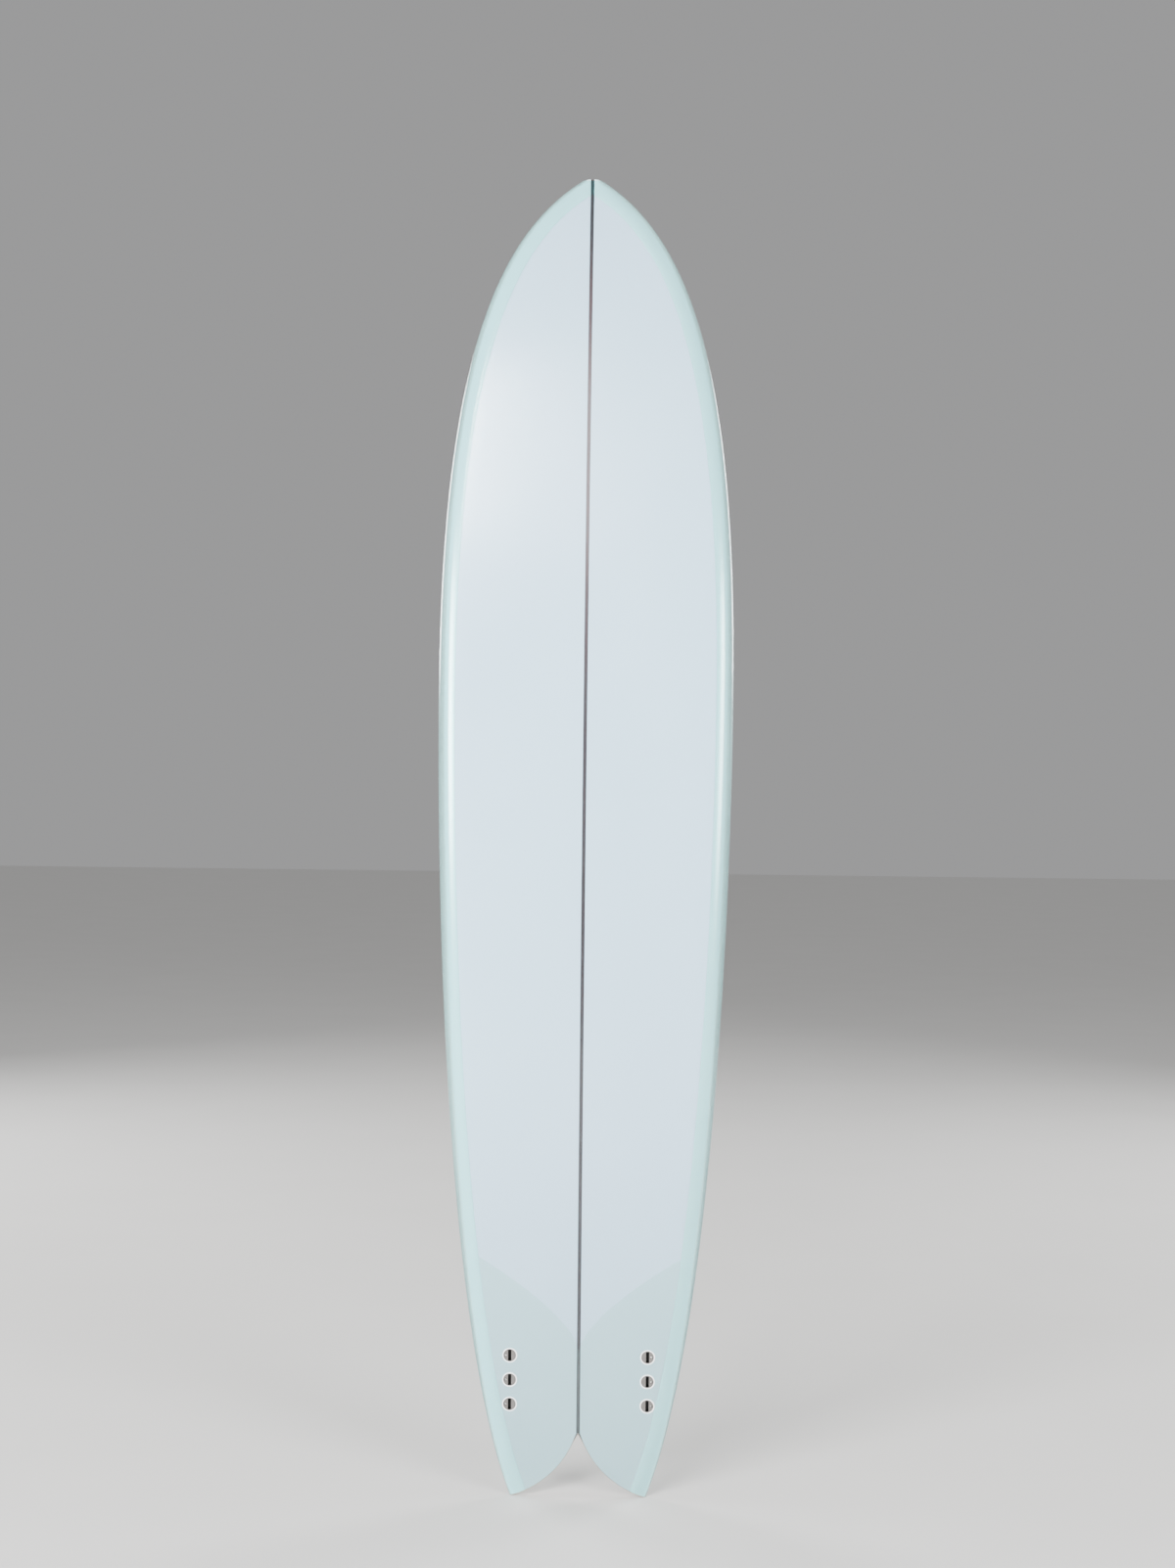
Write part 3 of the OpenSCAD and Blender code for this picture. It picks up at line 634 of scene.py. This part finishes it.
# %% Bottom sheet
GAP = 0.06 * MM
BOTTOM_SHEET = 0.68 * MM
DECK_SHEET = 1.0 * MM
PATCH_SHEET = 0.34 * MM
CUT_EDGE = 0.12 * MM                                 # what sanding leaves at a cut line
section = half_section(0)
wrapped = [c for c, s in zip(section[len(FLAT_SHARES):], TUCK_SHARES) if s > 0.08]
deck_side = [(c, deck_height) for c in section[-2::-1]]
bottom_columns = [(c, bottom_height) for c in section] + deck_side[:len(wrapped) - 1]
thinned = np.full(len(bottom_columns), GAP + BOTTOM_SHEET)
thinned[-3:] = GAP + np.array([0.8, 0.5, 0.2]) * BOTTOM_SHEET
bottom_glass = sheet("bottom_cloth_sheet", *grid(bottom_columns), GAP, thinned)
report(bottom_glass)


# %% Deck sheet, with its lap
def lap_line(z):
    return inner_line(z, LAP)


def lap_column(share):
    """Place across between the widest line, 0, and the cut line of the lap, 1."""
    def place(z):
        w = half_width(z) - FOAM_INSET
        return w - share * (w - np.minimum(lap_line(z), w))
    return place


lap_shares = np.linspace(1, 0, 25)[:-1]**1.7
laps = [(lap_column(s), bottom_height) for s in lap_shares]
deck_columns = laps + [(section[-1], deck_height)] + deck_side
over_bottom = GAP + BOTTOM_SHEET + GAP
inside = np.full(len(deck_columns), over_bottom)
past_wrap = len(laps) + len(wrapped)
inside[past_wrap - 3:past_wrap] -= np.array([0.2, 0.5, 0.8]) * BOTTOM_SHEET
inside[past_wrap:] = GAP
outside = inside + DECK_SHEET
outside[:len(laps)] -= (DECK_SHEET - CUT_EDGE) * np.clip((lap_shares - 0.6) / 0.4, 0, 1)**1.5
deck_glass = sheet("deck_cloth_sheet", *grid(deck_columns), inside, outside)
report(deck_glass)

# %% [markdown]
# ## Patches
# An extra layer of cloth under the fins stops them from levering their plugs out, and one on the
# deck takes the heel of the back foot. The tail patch reaches the laps and its front edge sweeps
# down to the stringer in a shallow V. Its columns end on that edge, so the edge is a clean curve.

# %% Patches
TAIL_PATCH = (0.272, 0.445)                          # height at the stringer and at the laps
DECK_PATCH = (0.900, 0.960)


def patch(name, face, heights_at, reach_of, base):
    middle_z, side_z = heights_at
    reach = half_width(side_z) - LAP

    def front(x):
        return middle_z + (side_z - middle_z) * (np.minimum(x, reach) / reach)**0.65

    def patch_heights(x_of):
        top = side_z
        for _ in range(60):
            top = (top + front(x_of(np.array([top])))[0]) / 2
        low = swallow_end(x_of)
        return low + (top - low) * np.linspace(0, 1, 70)

    columns = [((lambda z, s=s: s * reach_of(z)), face) for s in np.sin(np.linspace(0, 1, 45) * 1.4)
               / math.sin(1.4)]
    if face is deck_height:
        columns = columns[::-1]
    points, out = grid(columns, patch_heights)
    outside = np.full(points.shape[:2], base + GAP + PATCH_SHEET)
    outside[-3:] -= PATCH_SHEET * np.array([0.2, 0.45, 0.7])[:, None]
    return report(sheet(name, points, out, base + GAP, outside))


def deck_reach(z):
    return half_width(z) - LAP


tail_patch = patch("tail_patch_sheet", bottom_height, TAIL_PATCH, lambda z: lap_line(z) - 0.3 * MM,
                   GAP + BOTTOM_SHEET)
deck_patch = patch("deck_patch_sheet", deck_height, DECK_PATCH, deck_reach, GAP + DECK_SHEET)

# %% [markdown]
# ## Tape on the swallow and bare resin at the nose
# Cloth won't fold round the two points of a swallow, so its cut edge is closed with a strip of
# cloth tape and resin. The nose is sealed with a bead of resin, through which the end of the
# stringer shows dark. Both follow the ends of the sheets, ring by ring.

# %% Edge tape
def arc_direction(x):
    x = np.maximum(x, CORE_X + 0.01 * MM)
    z = swallow(x)
    away = np.stack([x - arc_x, 0 * x, z - arc_z], axis=-1)
    return away / np.linalg.norm(away, axis=-1)[:, None]


def edge_tape(name, side):
    """A strip on the end of every layer, from the middle of the stringer to the tail's tip."""
    lower, lower_out = grid([(c, bottom_height) for c in section])
    upper, upper_out = grid([(c, deck_height) for c in section][::-1])
    lower, lower_out, upper, upper_out = lower[0], lower_out[0], upper[0][::-1], upper_out[0][::-1]
    lower[0, 0] = upper[0, 0] = 0
    glass_below = GAP + BOTTOM_SHEET + (lower[:, 0] > lap_line(lower[:, 2])) * (GAP + DECK_SHEET)
    glass_above = GAP + DECK_SHEET + (upper[:, 0] > tucked(0.2)(upper[:, 2])) * (GAP + BOTTOM_SHEET)
    inner = [lower + lower_out * glass_below[:, None], lower, upper,
             upper + upper_out * glass_above[:, None]]
    push = arc_direction(lower[:, 0])
    push[0] = (0, 0, -1)
    rings = [p + push * GAP for p in inner] + [p + push * TAPE for p in inner[::-1]]
    points = np.stack(rings, axis=1)
    n = len(rings)
    faces = [(n * j + k, n * j + (k + 1) % n, n * j + n + (k + 1) % n, n * j + n + k)
             for j in range(len(points) - 1) for k in range(n)]
    faces += [tuple(range(n)), tuple(n * (len(points) - 1) + k for k in range(n))]
    item = mesh_from(name, points.reshape(-1, 3) * (side, 1, 1), faces, merge=1e-6)
    return report(closed(item))


tape_left, tape_right = edge_tape("swallow_tape_left", -1), edge_tape("swallow_tape_right", 1)


# %% Nose tip
def nose_tip(name):
    """A bead of resin on the ends of the sheets, rounded off towards the very tip."""
    points, out = grid(deck_columns)
    rim = (points + out * np.broadcast_to(outside, points.shape[:2])[..., None])[-1]
    rim[:, 2] = FOAM_TOP
    rim = np.vstack([rim, (rim * (-1, 1, 1))[-2:0:-1]])
    low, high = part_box("nose_resin_tip")
    middle = np.array([0, (low.y + high.y) / 2, FOAM_TOP])
    rings = []
    for t in np.linspace(0, 1, 9):
        shrink = (1 - 0.75 * t**2.4, 1 - 0.5 * t**2.4, 1)
        rise = (LENGTH - FOAM_TOP) * math.sin(t * 1.4) / math.sin(1.4)
        rings.append(middle + (rim - middle) * shrink + (0, 0, rise))
    n = len(rim)
    base = len(rings) * n
    points = np.vstack(rings + [[rings[-1].mean(axis=0)], [middle]])
    faces = [(i * n + k, i * n + (k + 1) % n, (i + 1) * n + (k + 1) % n, (i + 1) * n + k)
             for i in range(len(rings) - 1) for k in range(n)]
    faces += [(base - n + k, base - n + (k + 1) % n, base) for k in range(n)]
    faces += [((k + 1) % n, k, base + 1) for k in range(n)]
    return report(closed(mesh_from(name, points, faces)))


nose = nose_tip("nose_resin_bead")

# %% [markdown]
# ## Fin plugs
# Each fin stands in three plugs. A plug is a moulded disc with a slot for the fin's tab and a
# leaning grub screw that clamps it, set in a ring of white resin and sanded flush. The six are the
# same, so one is made in mesh code and a Geometry Nodes tree sets out a row of it. The tree knows
# the rocker's formula, so every copy sits on the curved bottom and square to it.

# %% One plug, one ring, one screw
PLUG_ROW, PLUG_FIRST, PLUG_PITCH = 0.126, 0.172, 0.0455
PLUG_R = (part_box("fin_plug_right_rear")[1].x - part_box("fin_plug_right_rear")[0].x) / 2
RING = 1.75 * MM
PLUG_DEEP, RING_DEEP, FLANGE_H, FLANGE_STEP = 17 * MM, 19 * MM, 2.5 * MM, 0.45 * MM
SLOT_W, SLOT_LONG, SLOT_DEEP = 5.8 * MM, 20.6 * MM, 14 * MM
SCREW_R, SCREW_LONG, SCREW_SUNK = 2 * MM, 6 * MM, 0.5 * MM
SCREW_OFFSET, SCREW_LEAN = 8 * MM, math.radians(28)
FIT = 0.03 * MM


def box(name, half, middle):
    """A closed box that is used as a cutter."""
    bm = bmesh.new()
    bmesh.ops.create_cube(bm, size=2, matrix=Matrix.Translation(middle) @ Matrix.Diagonal((*half, 1)))
    mesh = bpy.data.meshes.new(name)
    bm.to_mesh(mesh)
    bm.free()
    return new_object(name, mesh)


def moved(item, matrix):
    item.data.transform(matrix)
    return item


def bevelled(item, width, angle=50):
    edge = item.modifiers.new("edges", "BEVEL")
    edge.width, edge.segments, edge.angle_limit = width, 2, math.radians(angle)
    edge.use_clamp_overlap = True
    return settle(item)


lean = (Matrix.Translation((SCREW_OFFSET, 0, 0)) @ Matrix.Rotation(SCREW_LEAN, 4, "Y"))
plug = lathe("plug_master", [(0, 0), (PLUG_R - 0.15 * MM, 0), (PLUG_R, -0.15 * MM),
                             (PLUG_R, -FLANGE_H), (PLUG_R - FLANGE_STEP, -FLANGE_H - FLANGE_STEP),
                             (PLUG_R - FLANGE_STEP, -PLUG_DEEP), (0, -PLUG_DEEP)])
slot = box("slot_cutter", (SLOT_W / 2, SLOT_LONG / 2, (SLOT_DEEP + 5 * MM) / 2),
           (0, 0, (5 * MM - SLOT_DEEP) / 2))
hole = moved(lathe("hole_cutter", [(0, 5 * MM), (SCREW_R + 0.05 * MM, 5 * MM),
                                   (SCREW_R + 0.05 * MM, -10 * MM), (0, -10 * MM)], 48), lean)
bevelled(cut(plug, slot, hole), 0.15 * MM)
scrap(slot, hole)
# Faces below the sanded top are unsanded black nylon; their near-black finish also paints the shade in the
# slot and screw hole.
unsanded = plug.data.attributes.new("unsanded", "BOOLEAN", "FACE")
for face, mark in zip(plug.data.polygons, unsanded.data):
    mark.value = face.center.z < -0.2 * MM

ring = lathe("ring_master", [(0, -RING_DEEP), (PLUG_R + RING, -RING_DEEP), (PLUG_R + RING, -0.1 * MM),
                             (PLUG_R + RING - 0.1 * MM, 0), (PLUG_R + FIT, 0),
                             (PLUG_R + FIT, -FLANGE_H - FIT),
                             (PLUG_R - FLANGE_STEP + FIT, -FLANGE_H - FLANGE_STEP - FIT),
                             (PLUG_R - FLANGE_STEP + FIT, -PLUG_DEEP - FIT), (0, -PLUG_DEEP - FIT)])
pocket = lathe("pocket_master", [(0, -19.05 * MM), (PLUG_R + RING + FIT, -19.05 * MM),
                                 (PLUG_R + RING + FIT, 4 * MM), (0, 4 * MM)])

thread = [(SCREW_R - (0.22 * MM if k % 2 else 0), -0.5 * MM - k * 0.35 * MM) for k in range(15)]
screw = lathe("screw_master", [(0, 0), (SCREW_R - 0.4 * MM, 0)] + thread
              + [(SCREW_R - 0.6 * MM, -SCREW_LONG), (0, -SCREW_LONG)], 48)
hexagon = lathe("hexagon_cutter", [(0, 1 * MM), (1.15 * MM, 1 * MM), (1.15 * MM, -2.5 * MM),
                                   (0, -2.9 * MM)], 6)
cut(screw, hexagon)
scrap(hexagon)
moved(screw, lean @ Matrix.Translation((0, 0, -SCREW_SUNK)))
for item in (plug, ring, screw):
    report(item)


# %% The tree that sets out a row
def row_tree():
    """Copies of a piece in a row up the bottom, each on the rocker and square to it."""
    tree = bpy.data.node_groups.new("row_on_the_rocker", "GeometryNodeTree")
    sockets = {"Piece": "Object", "Finish": "Material", "Inner": "Material", "Count": "Int",
               "Row": "Float", "First": "Float", "Pitch": "Float", "Turn": "Float", "Stand": "Float"}
    tree.interface.new_socket("Geometry", in_out="INPUT", socket_type="NodeSocketGeometry")
    for name, kind in sockets.items():
        tree.interface.new_socket(name, in_out="INPUT", socket_type="NodeSocket" + kind)
    tree.interface.new_socket("Geometry", in_out="OUTPUT", socket_type="NodeSocketGeometry")
    given = add(tree, "NodeGroupInput").outputs

    def sum_of(operation, *values):
        return add(tree, "ShaderNodeMath", dict(enumerate(values)), operation=operation).outputs[0]

    start = add(tree, "ShaderNodeCombineXYZ", {"X": given["Row"], "Z": given["First"]}).outputs[0]
    step = add(tree, "ShaderNodeCombineXYZ", {"Z": given["Pitch"]}).outputs[0]
    line = add(tree, "GeometryNodeMeshLine", {
        "Count": given["Count"], "Start Location": start, "Offset": step}).outputs["Mesh"]
    place = add(tree, "GeometryNodeInputPosition").outputs[0]
    height = add(tree, "ShaderNodeSeparateXYZ", {0: place}).outputs["Z"]
    below = sum_of("DIVIDE", sum_of("SUBTRACT", FLAT_POINT, height), FLAT_POINT)
    lift = sum_of("MULTIPLY", sum_of("MULTIPLY", below, below), TAIL_ROCKER)
    slope = sum_of("MULTIPLY", below, -2 * TAIL_ROCKER / FLAT_POINT)
    tilt = sum_of("ARCTANGENT", slope)
    stand_y = sum_of("MULTIPLY", sum_of("COSINE", tilt), given["Stand"])
    stand_z = sum_of("MULTIPLY", sum_of("SINE", tilt), given["Stand"])
    shift = add(tree, "ShaderNodeCombineXYZ", {"Y": sum_of("SUBTRACT", lift, stand_y),
                                               "Z": stand_z}).outputs[0]
    places = add(tree, "GeometryNodeSetPosition", {"Geometry": line, "Offset": shift}).outputs[0]
    square = add(tree, "ShaderNodeCombineXYZ", {
        "X": sum_of("SUBTRACT", math.pi / 2, tilt)}).outputs[0]
    turned = add(tree, "FunctionNodeRotateRotation", {
        "Rotation": square,
        "Rotate By": add(tree, "ShaderNodeCombineXYZ", {"Z": given["Turn"]}).outputs[0]},
        rotation_space="LOCAL").outputs[0]
    stored = add(tree, "GeometryNodeStoreNamedAttribute", {
        "Geometry": places, "Name": "square_to_rocker", "Value": turned},
        data_type="QUATERNION", domain="POINT").outputs[0]
    read = add(tree, "GeometryNodeInputNamedAttribute", {"Name": "square_to_rocker"},
               data_type="QUATERNION").outputs[0]
    piece = add(tree, "GeometryNodeObjectInfo", {"Object": given["Piece"]}).outputs["Geometry"]
    copies = add(tree, "GeometryNodeInstanceOnPoints", {
        "Points": stored, "Instance": piece, "Rotation": read}).outputs[0]
    real = add(tree, "GeometryNodeRealizeInstances", {0: copies}).outputs[0]
    finished = add(tree, "GeometryNodeSetMaterial", {
        "Geometry": real, "Material": given["Finish"]}).outputs[0]
    # Faces below the top take the inner finish, whose near-black partly paints the shade in the recesses.
    inner = add(tree, "GeometryNodeInputNamedAttribute", {"Name": "unsanded"},
                data_type="BOOLEAN").outputs[0]
    finished = add(tree, "GeometryNodeSetMaterial", {
        "Geometry": finished, "Selection": inner, "Material": given["Inner"]}).outputs[0]
    add(tree, "NodeGroupOutput", {0: finished})
    return tree


ROW = row_tree()


def set_out(name, piece, finish, side, first=PLUG_FIRST, count=3):
    """One row of a piece on a side of the bottom, as a plain mesh."""
    item = new_object(name, bpy.data.meshes.new(name))
    row = item.modifiers.new("row", "NODES")
    row.node_group = ROW
    values = {"Piece": piece, "Finish": finish, "Inner": SLOT_NYLON_AND_PAINTED_SHADE, "Count": count,
              "Row": side * PLUG_ROW, "First": first, "Pitch": PLUG_PITCH,
              "Turn": 0.0 if side > 0 else math.pi, "Stand": 0.4 * MM}
    for socket in ROW.interface.items_tree:
        if socket.in_out == "INPUT" and socket.name in values:
            row[socket.identifier] = values[socket.name]
    return settle(item)


# %% Rows of plugs, rings and screws
SIDES = {"left": -1, "right": 1}
PLACES = ("rear", "middle", "front")
plugs, rings, pockets, screws = {}, {}, {}, {}
for side, sign in SIDES.items():
    plugs[side] = report(set_out(f"plug_row_{side}", plug, PLUG_PLASTIC, sign))
    rings[side] = report(set_out(f"resin_rings_{side}", ring, WHITE_RESIN, sign))
    pockets[side] = set_out(f"pockets_{side}", pocket, None, sign)
    for k, place in enumerate(PLACES):
        body = f"grub_screw_{side}_{place}"
        screws[body] = set_out(f"socket_screw_{side}_{place}", screw, STEEL, sign,
                               PLUG_FIRST + k * PLUG_PITCH, 1)
print("screws", len(screws), "at", [round(v, 4) for v in screws["grub_screw_right_rear"].data.vertices[0].co])
scrap(plug, ring, pocket, screw)

# %% [markdown]
# ## Leash plug
# A leash is tied to a steel bar across a moulded cup, which is set into the deck in resin the same
# way as the fin plugs. Its rim is rounded, because the cord rubs on it.

# %% Leash cup, resin and bar
leash_x, leash_z = -0.028, 0.235
deck_y = deck_height(np.array([-leash_x] * 2), np.array([leash_z, leash_z + MM]))
leash_slope = math.atan((deck_y[1] - deck_y[0]) / MM)
on_deck = (Matrix.Translation((leash_x, deck_y[0] + 1.6 * MM, leash_z))
           @ Matrix.Rotation(-math.pi / 2 - leash_slope, 4, "X"))
CUP_R, CUP_DEEP, CUP_WALL, RIM_R, RIM_H = 14.5 * MM, 18 * MM, 2.5 * MM, 19 * MM, 2 * MM
BAR_R, BAR_CHAMFER, BAR_SUNK = 1.75 * MM, 0.3 * MM, 6 * MM
round_off = [(math.cos(a), math.sin(a)) for a in np.linspace(0, math.pi / 2, 5)]
rim = [(RIM_R - 0.8 * MM * (1 - c), -0.8 * MM * (1 - s)) for c, s in round_off]
mouth = [(CUP_R - CUP_WALL + 1 * MM * (1 - s), -1 * MM * (1 - c)) for c, s in round_off]
leash_cup = lathe("leash_plug_cup", [(0, -CUP_DEEP), (CUP_R, -CUP_DEEP), (CUP_R, -RIM_H),
                                     (RIM_R, -RIM_H)] + rim + mouth
                  + [(CUP_R - CUP_WALL, CUP_WALL - CUP_DEEP + MM),
                     (CUP_R - CUP_WALL - MM, CUP_WALL - CUP_DEEP), (0, CUP_WALL - CUP_DEEP)])
BAR_LONG = 2 * CUP_R - CUP_WALL
bar_ends = [(0, -BAR_LONG / 2), (BAR_R - BAR_CHAMFER, -BAR_LONG / 2),
            (BAR_R, BAR_CHAMFER - BAR_LONG / 2), (BAR_R, BAR_LONG / 2 - BAR_CHAMFER),
            (BAR_R - BAR_CHAMFER, BAR_LONG / 2), (0, BAR_LONG / 2)]
across_cup = Matrix.Translation((0, 0, -BAR_SUNK)) @ Matrix.Rotation(math.pi / 2, 4, "Y")
leash_bar = moved(lathe("leash_plug_bar", bar_ends, 48), across_cup)
bar_hole = moved(lathe("bar_cutter", [(0, -BAR_LONG / 2), (BAR_R + FIT, -BAR_LONG / 2),
                                      (BAR_R + FIT, BAR_LONG / 2), (0, BAR_LONG / 2)], 48), across_cup)
cut(leash_cup, bar_hole)
leash_resin = lathe("leash_plug_resin", [
    (0, -20 * MM), (CUP_R + RING, -20 * MM), (CUP_R + RING, -RIM_H - FIT), (CUP_R + FIT, -RIM_H - FIT),
    (CUP_R + FIT, -CUP_DEEP - FIT), (0, -CUP_DEEP - FIT)])
leash_pocket = lathe("leash_pocket", [
    (0, -20.05 * MM), (CUP_R + RING + FIT, -20.05 * MM), (CUP_R + RING + FIT, -RIM_H - FIT),
    (RIM_R + FIT, -RIM_H - FIT), (RIM_R + FIT, 5 * MM), (0, 5 * MM)])
for item in (leash_cup, leash_bar, leash_resin, leash_pocket):
    moved(item, on_deck)
    report(item)
scrap(bar_hole)

# %% [markdown]
# ## Pockets
# The plugs go in after the cloth, so their pockets are routed through the patch, the sheet and
# into the foam. The exact Boolean cuts all three with the same tool.

# %% Rout the pockets
cut(foam_left, pockets["left"], leash_pocket)
cut(foam_right, pockets["right"])
for item in (bottom_glass, tail_patch):
    cut(item, pockets["left"], pockets["right"])
for item in (deck_glass, deck_patch):
    cut(item, leash_pocket)
scrap(leash_pocket, *pockets.values())
for item in (foam_left, foam_right, bottom_glass, deck_glass, tail_patch, deck_patch):
    report(item)

# %% [markdown]
# ## Finishes and bodies
# Every piece takes its materials and its body, and stands in for the CAD nodes that it was
# rebuilt from. The screws are the only pieces that ride on bodies of their own.

# %% Dress the pieces
def rows_of(kind, side):
    return [f"{kind}_{side}_{place}" for place in PLACES]


pieces = [
    (foam_left, [FOAM], "foam", ["foam_blank_left"]),
    (foam_right, [FOAM], "foam", ["foam_blank_right"]),
    (stringer, [CEDAR], "stringer_wood", ["stringer"]),
    (glue_left, [GLUE], "glue", ["glue_line_left"]),
    (glue_right, [GLUE], "glue", ["glue_line_right"]),
    (bottom_glass, BOTTOM_CLOTH, "bottom_glass", ["bottom_laminate"]),
    (deck_glass, DECK_CLOTH, "deck_glass", ["deck_laminate"]),
    (tail_patch, PATCH_CLOTH, "patch_glass", ["tail_patch"]),
    (deck_patch, PATCH_CLOTH, "patch_glass", ["deck_patch"]),
    (tape_left, [TAPE_RESIN], "edge_tape", ["tail_edge_tape_left"]),
    (tape_right, [TAPE_RESIN], "edge_tape", ["tail_edge_tape_right"]),
    (nose, [NOSE_RESIN], "nose_resin", ["nose_resin_tip"]),
    (leash_cup, [CUP_PLASTIC], "white_plastic", ["leash_cup"]),
    (leash_resin, [WHITE_RESIN], "white_resin", ["leash_cup_resin"]),
    (leash_bar, [STEEL], "steel", ["leash_bar"]),
]
for side in SIDES:
    pieces.append((plugs[side], plugs[side].data.materials[:], "plug_plastic",
                   rows_of("fin_plug", side)))
    pieces.append((rings[side], [WHITE_RESIN], "white_resin", rows_of("plug_resin", side)))
bodies = {screws[body]: body for body in screws}
pieces += [(item, [STEEL], "steel", [body]) for item, body in bodies.items()]

# Known fault: clear() also sends every face back to the first finish, so the inner faces of the
# sheets get the outer one and its gloss, and mirror too strongly when they are seen at a slant.
for item, finishes, slot_name, nodes in pieces:
    if item.data.materials[:] != finishes:
        item.data.materials.clear()
        for finish in finishes:
            item.data.materials.append(finish)
    item.data.polygons.foreach_set("use_smooth", [True] * len(item.data.polygons))
    item.data.set_sharp_from_angle(angle=math.radians(35))
    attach(item, bodies.get(item, ROOT))
    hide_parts(*nodes)
print("pieces", len(pieces), "triangles",
      sum(len(p.vertices) - 2 for item, *_ in pieces for p in item.data.polygons))

# %% [markdown]
# ## Floor and light
# A pale floor, a pale even surround, and soft boxes on both sides of the board. The big one on
# the left is about twice as strong as the one on the right, which shades the right rail. Both stand
# well to the side, so the polished bottom mirrors neither of them. The small one hangs above the
# viewer's left shoulder, and its reflection lies as a broad soft sheen on the upper left, where the
# nose rocker starts to tip the surface up. Two more stand behind, out of the view, and light the
# deck and the near floor. A wide diffused window adds an even light from behind.

# %% Floor
floor = mesh_from("studio_floor", [(-30, -30, 0), (30, -30, 0), (30, 30, 0), (-30, 30, 0)],
                  [(0, 1, 2, 3)])
FLOOR, tree = new_material("studio_floor_paint")
show(tree, add(tree, "ShaderNodeBsdfPrincipled", {
    "Base Color": blend_colours(tree, speckle(tree, 400 * MM, board_place(tree), 2),
                                paint("#BDBCBA"), paint("#C2C1BF")),
    "Roughness": 0.85}).outputs["BSDF"])
floor.data.materials.append(FLOOR)


# %% Lights
def softbox(name, place, width, height, power):
    """A white box light that faces the middle of the board. Power is in watts."""
    light = bpy.data.lights.new(name, "AREA")
    light.shape, light.size, light.size_y = "RECTANGLE", width, height
    light.energy = power
    item = bpy.data.objects.new(name, light)
    item.location = place
    item.rotation_euler = (AIM - item.location).to_track_quat("-Z", "Y").to_euler()
    bpy.context.collection.objects.link(item)


softbox("softbox_left", (-3.4, -4.9, 1.95), 2.6, 2.0, 1150)
softbox("softbox_right", (4.0, -4.4, 1.95), 2.4, 2.0, 620)
softbox("softbox_upper_left", (-0.95, -4.9, 3.8), 0.9, 1.4, 160)
softbox("softbox_behind_left", (-4.3, 4.1, 2.9), 2.2, 2.2, 400)
softbox("softbox_behind_right", (4.4, 3.9, 2.9), 2.2, 2.2, 360)

sky = bpy.data.lights.new("diffused_window_behind", "SUN")
sky.energy, sky.angle = 0.7, math.radians(70)
window = bpy.data.objects.new("diffused_window_behind", sky)
window.rotation_euler = Vector((-0.25, -1, -1.1)).to_track_quat("-Z", "Y").to_euler()
bpy.context.collection.objects.link(window)
surround = bpy.data.worlds.new("studio_surround")
bpy.context.scene.world = surround
surround.use_nodes = True
background = surround.node_tree.nodes["Background"].inputs
background["Color"].default_value = paint("#E8E8E9")
background["Strength"].default_value = 0.45
print("lights", len(bpy.data.lights))
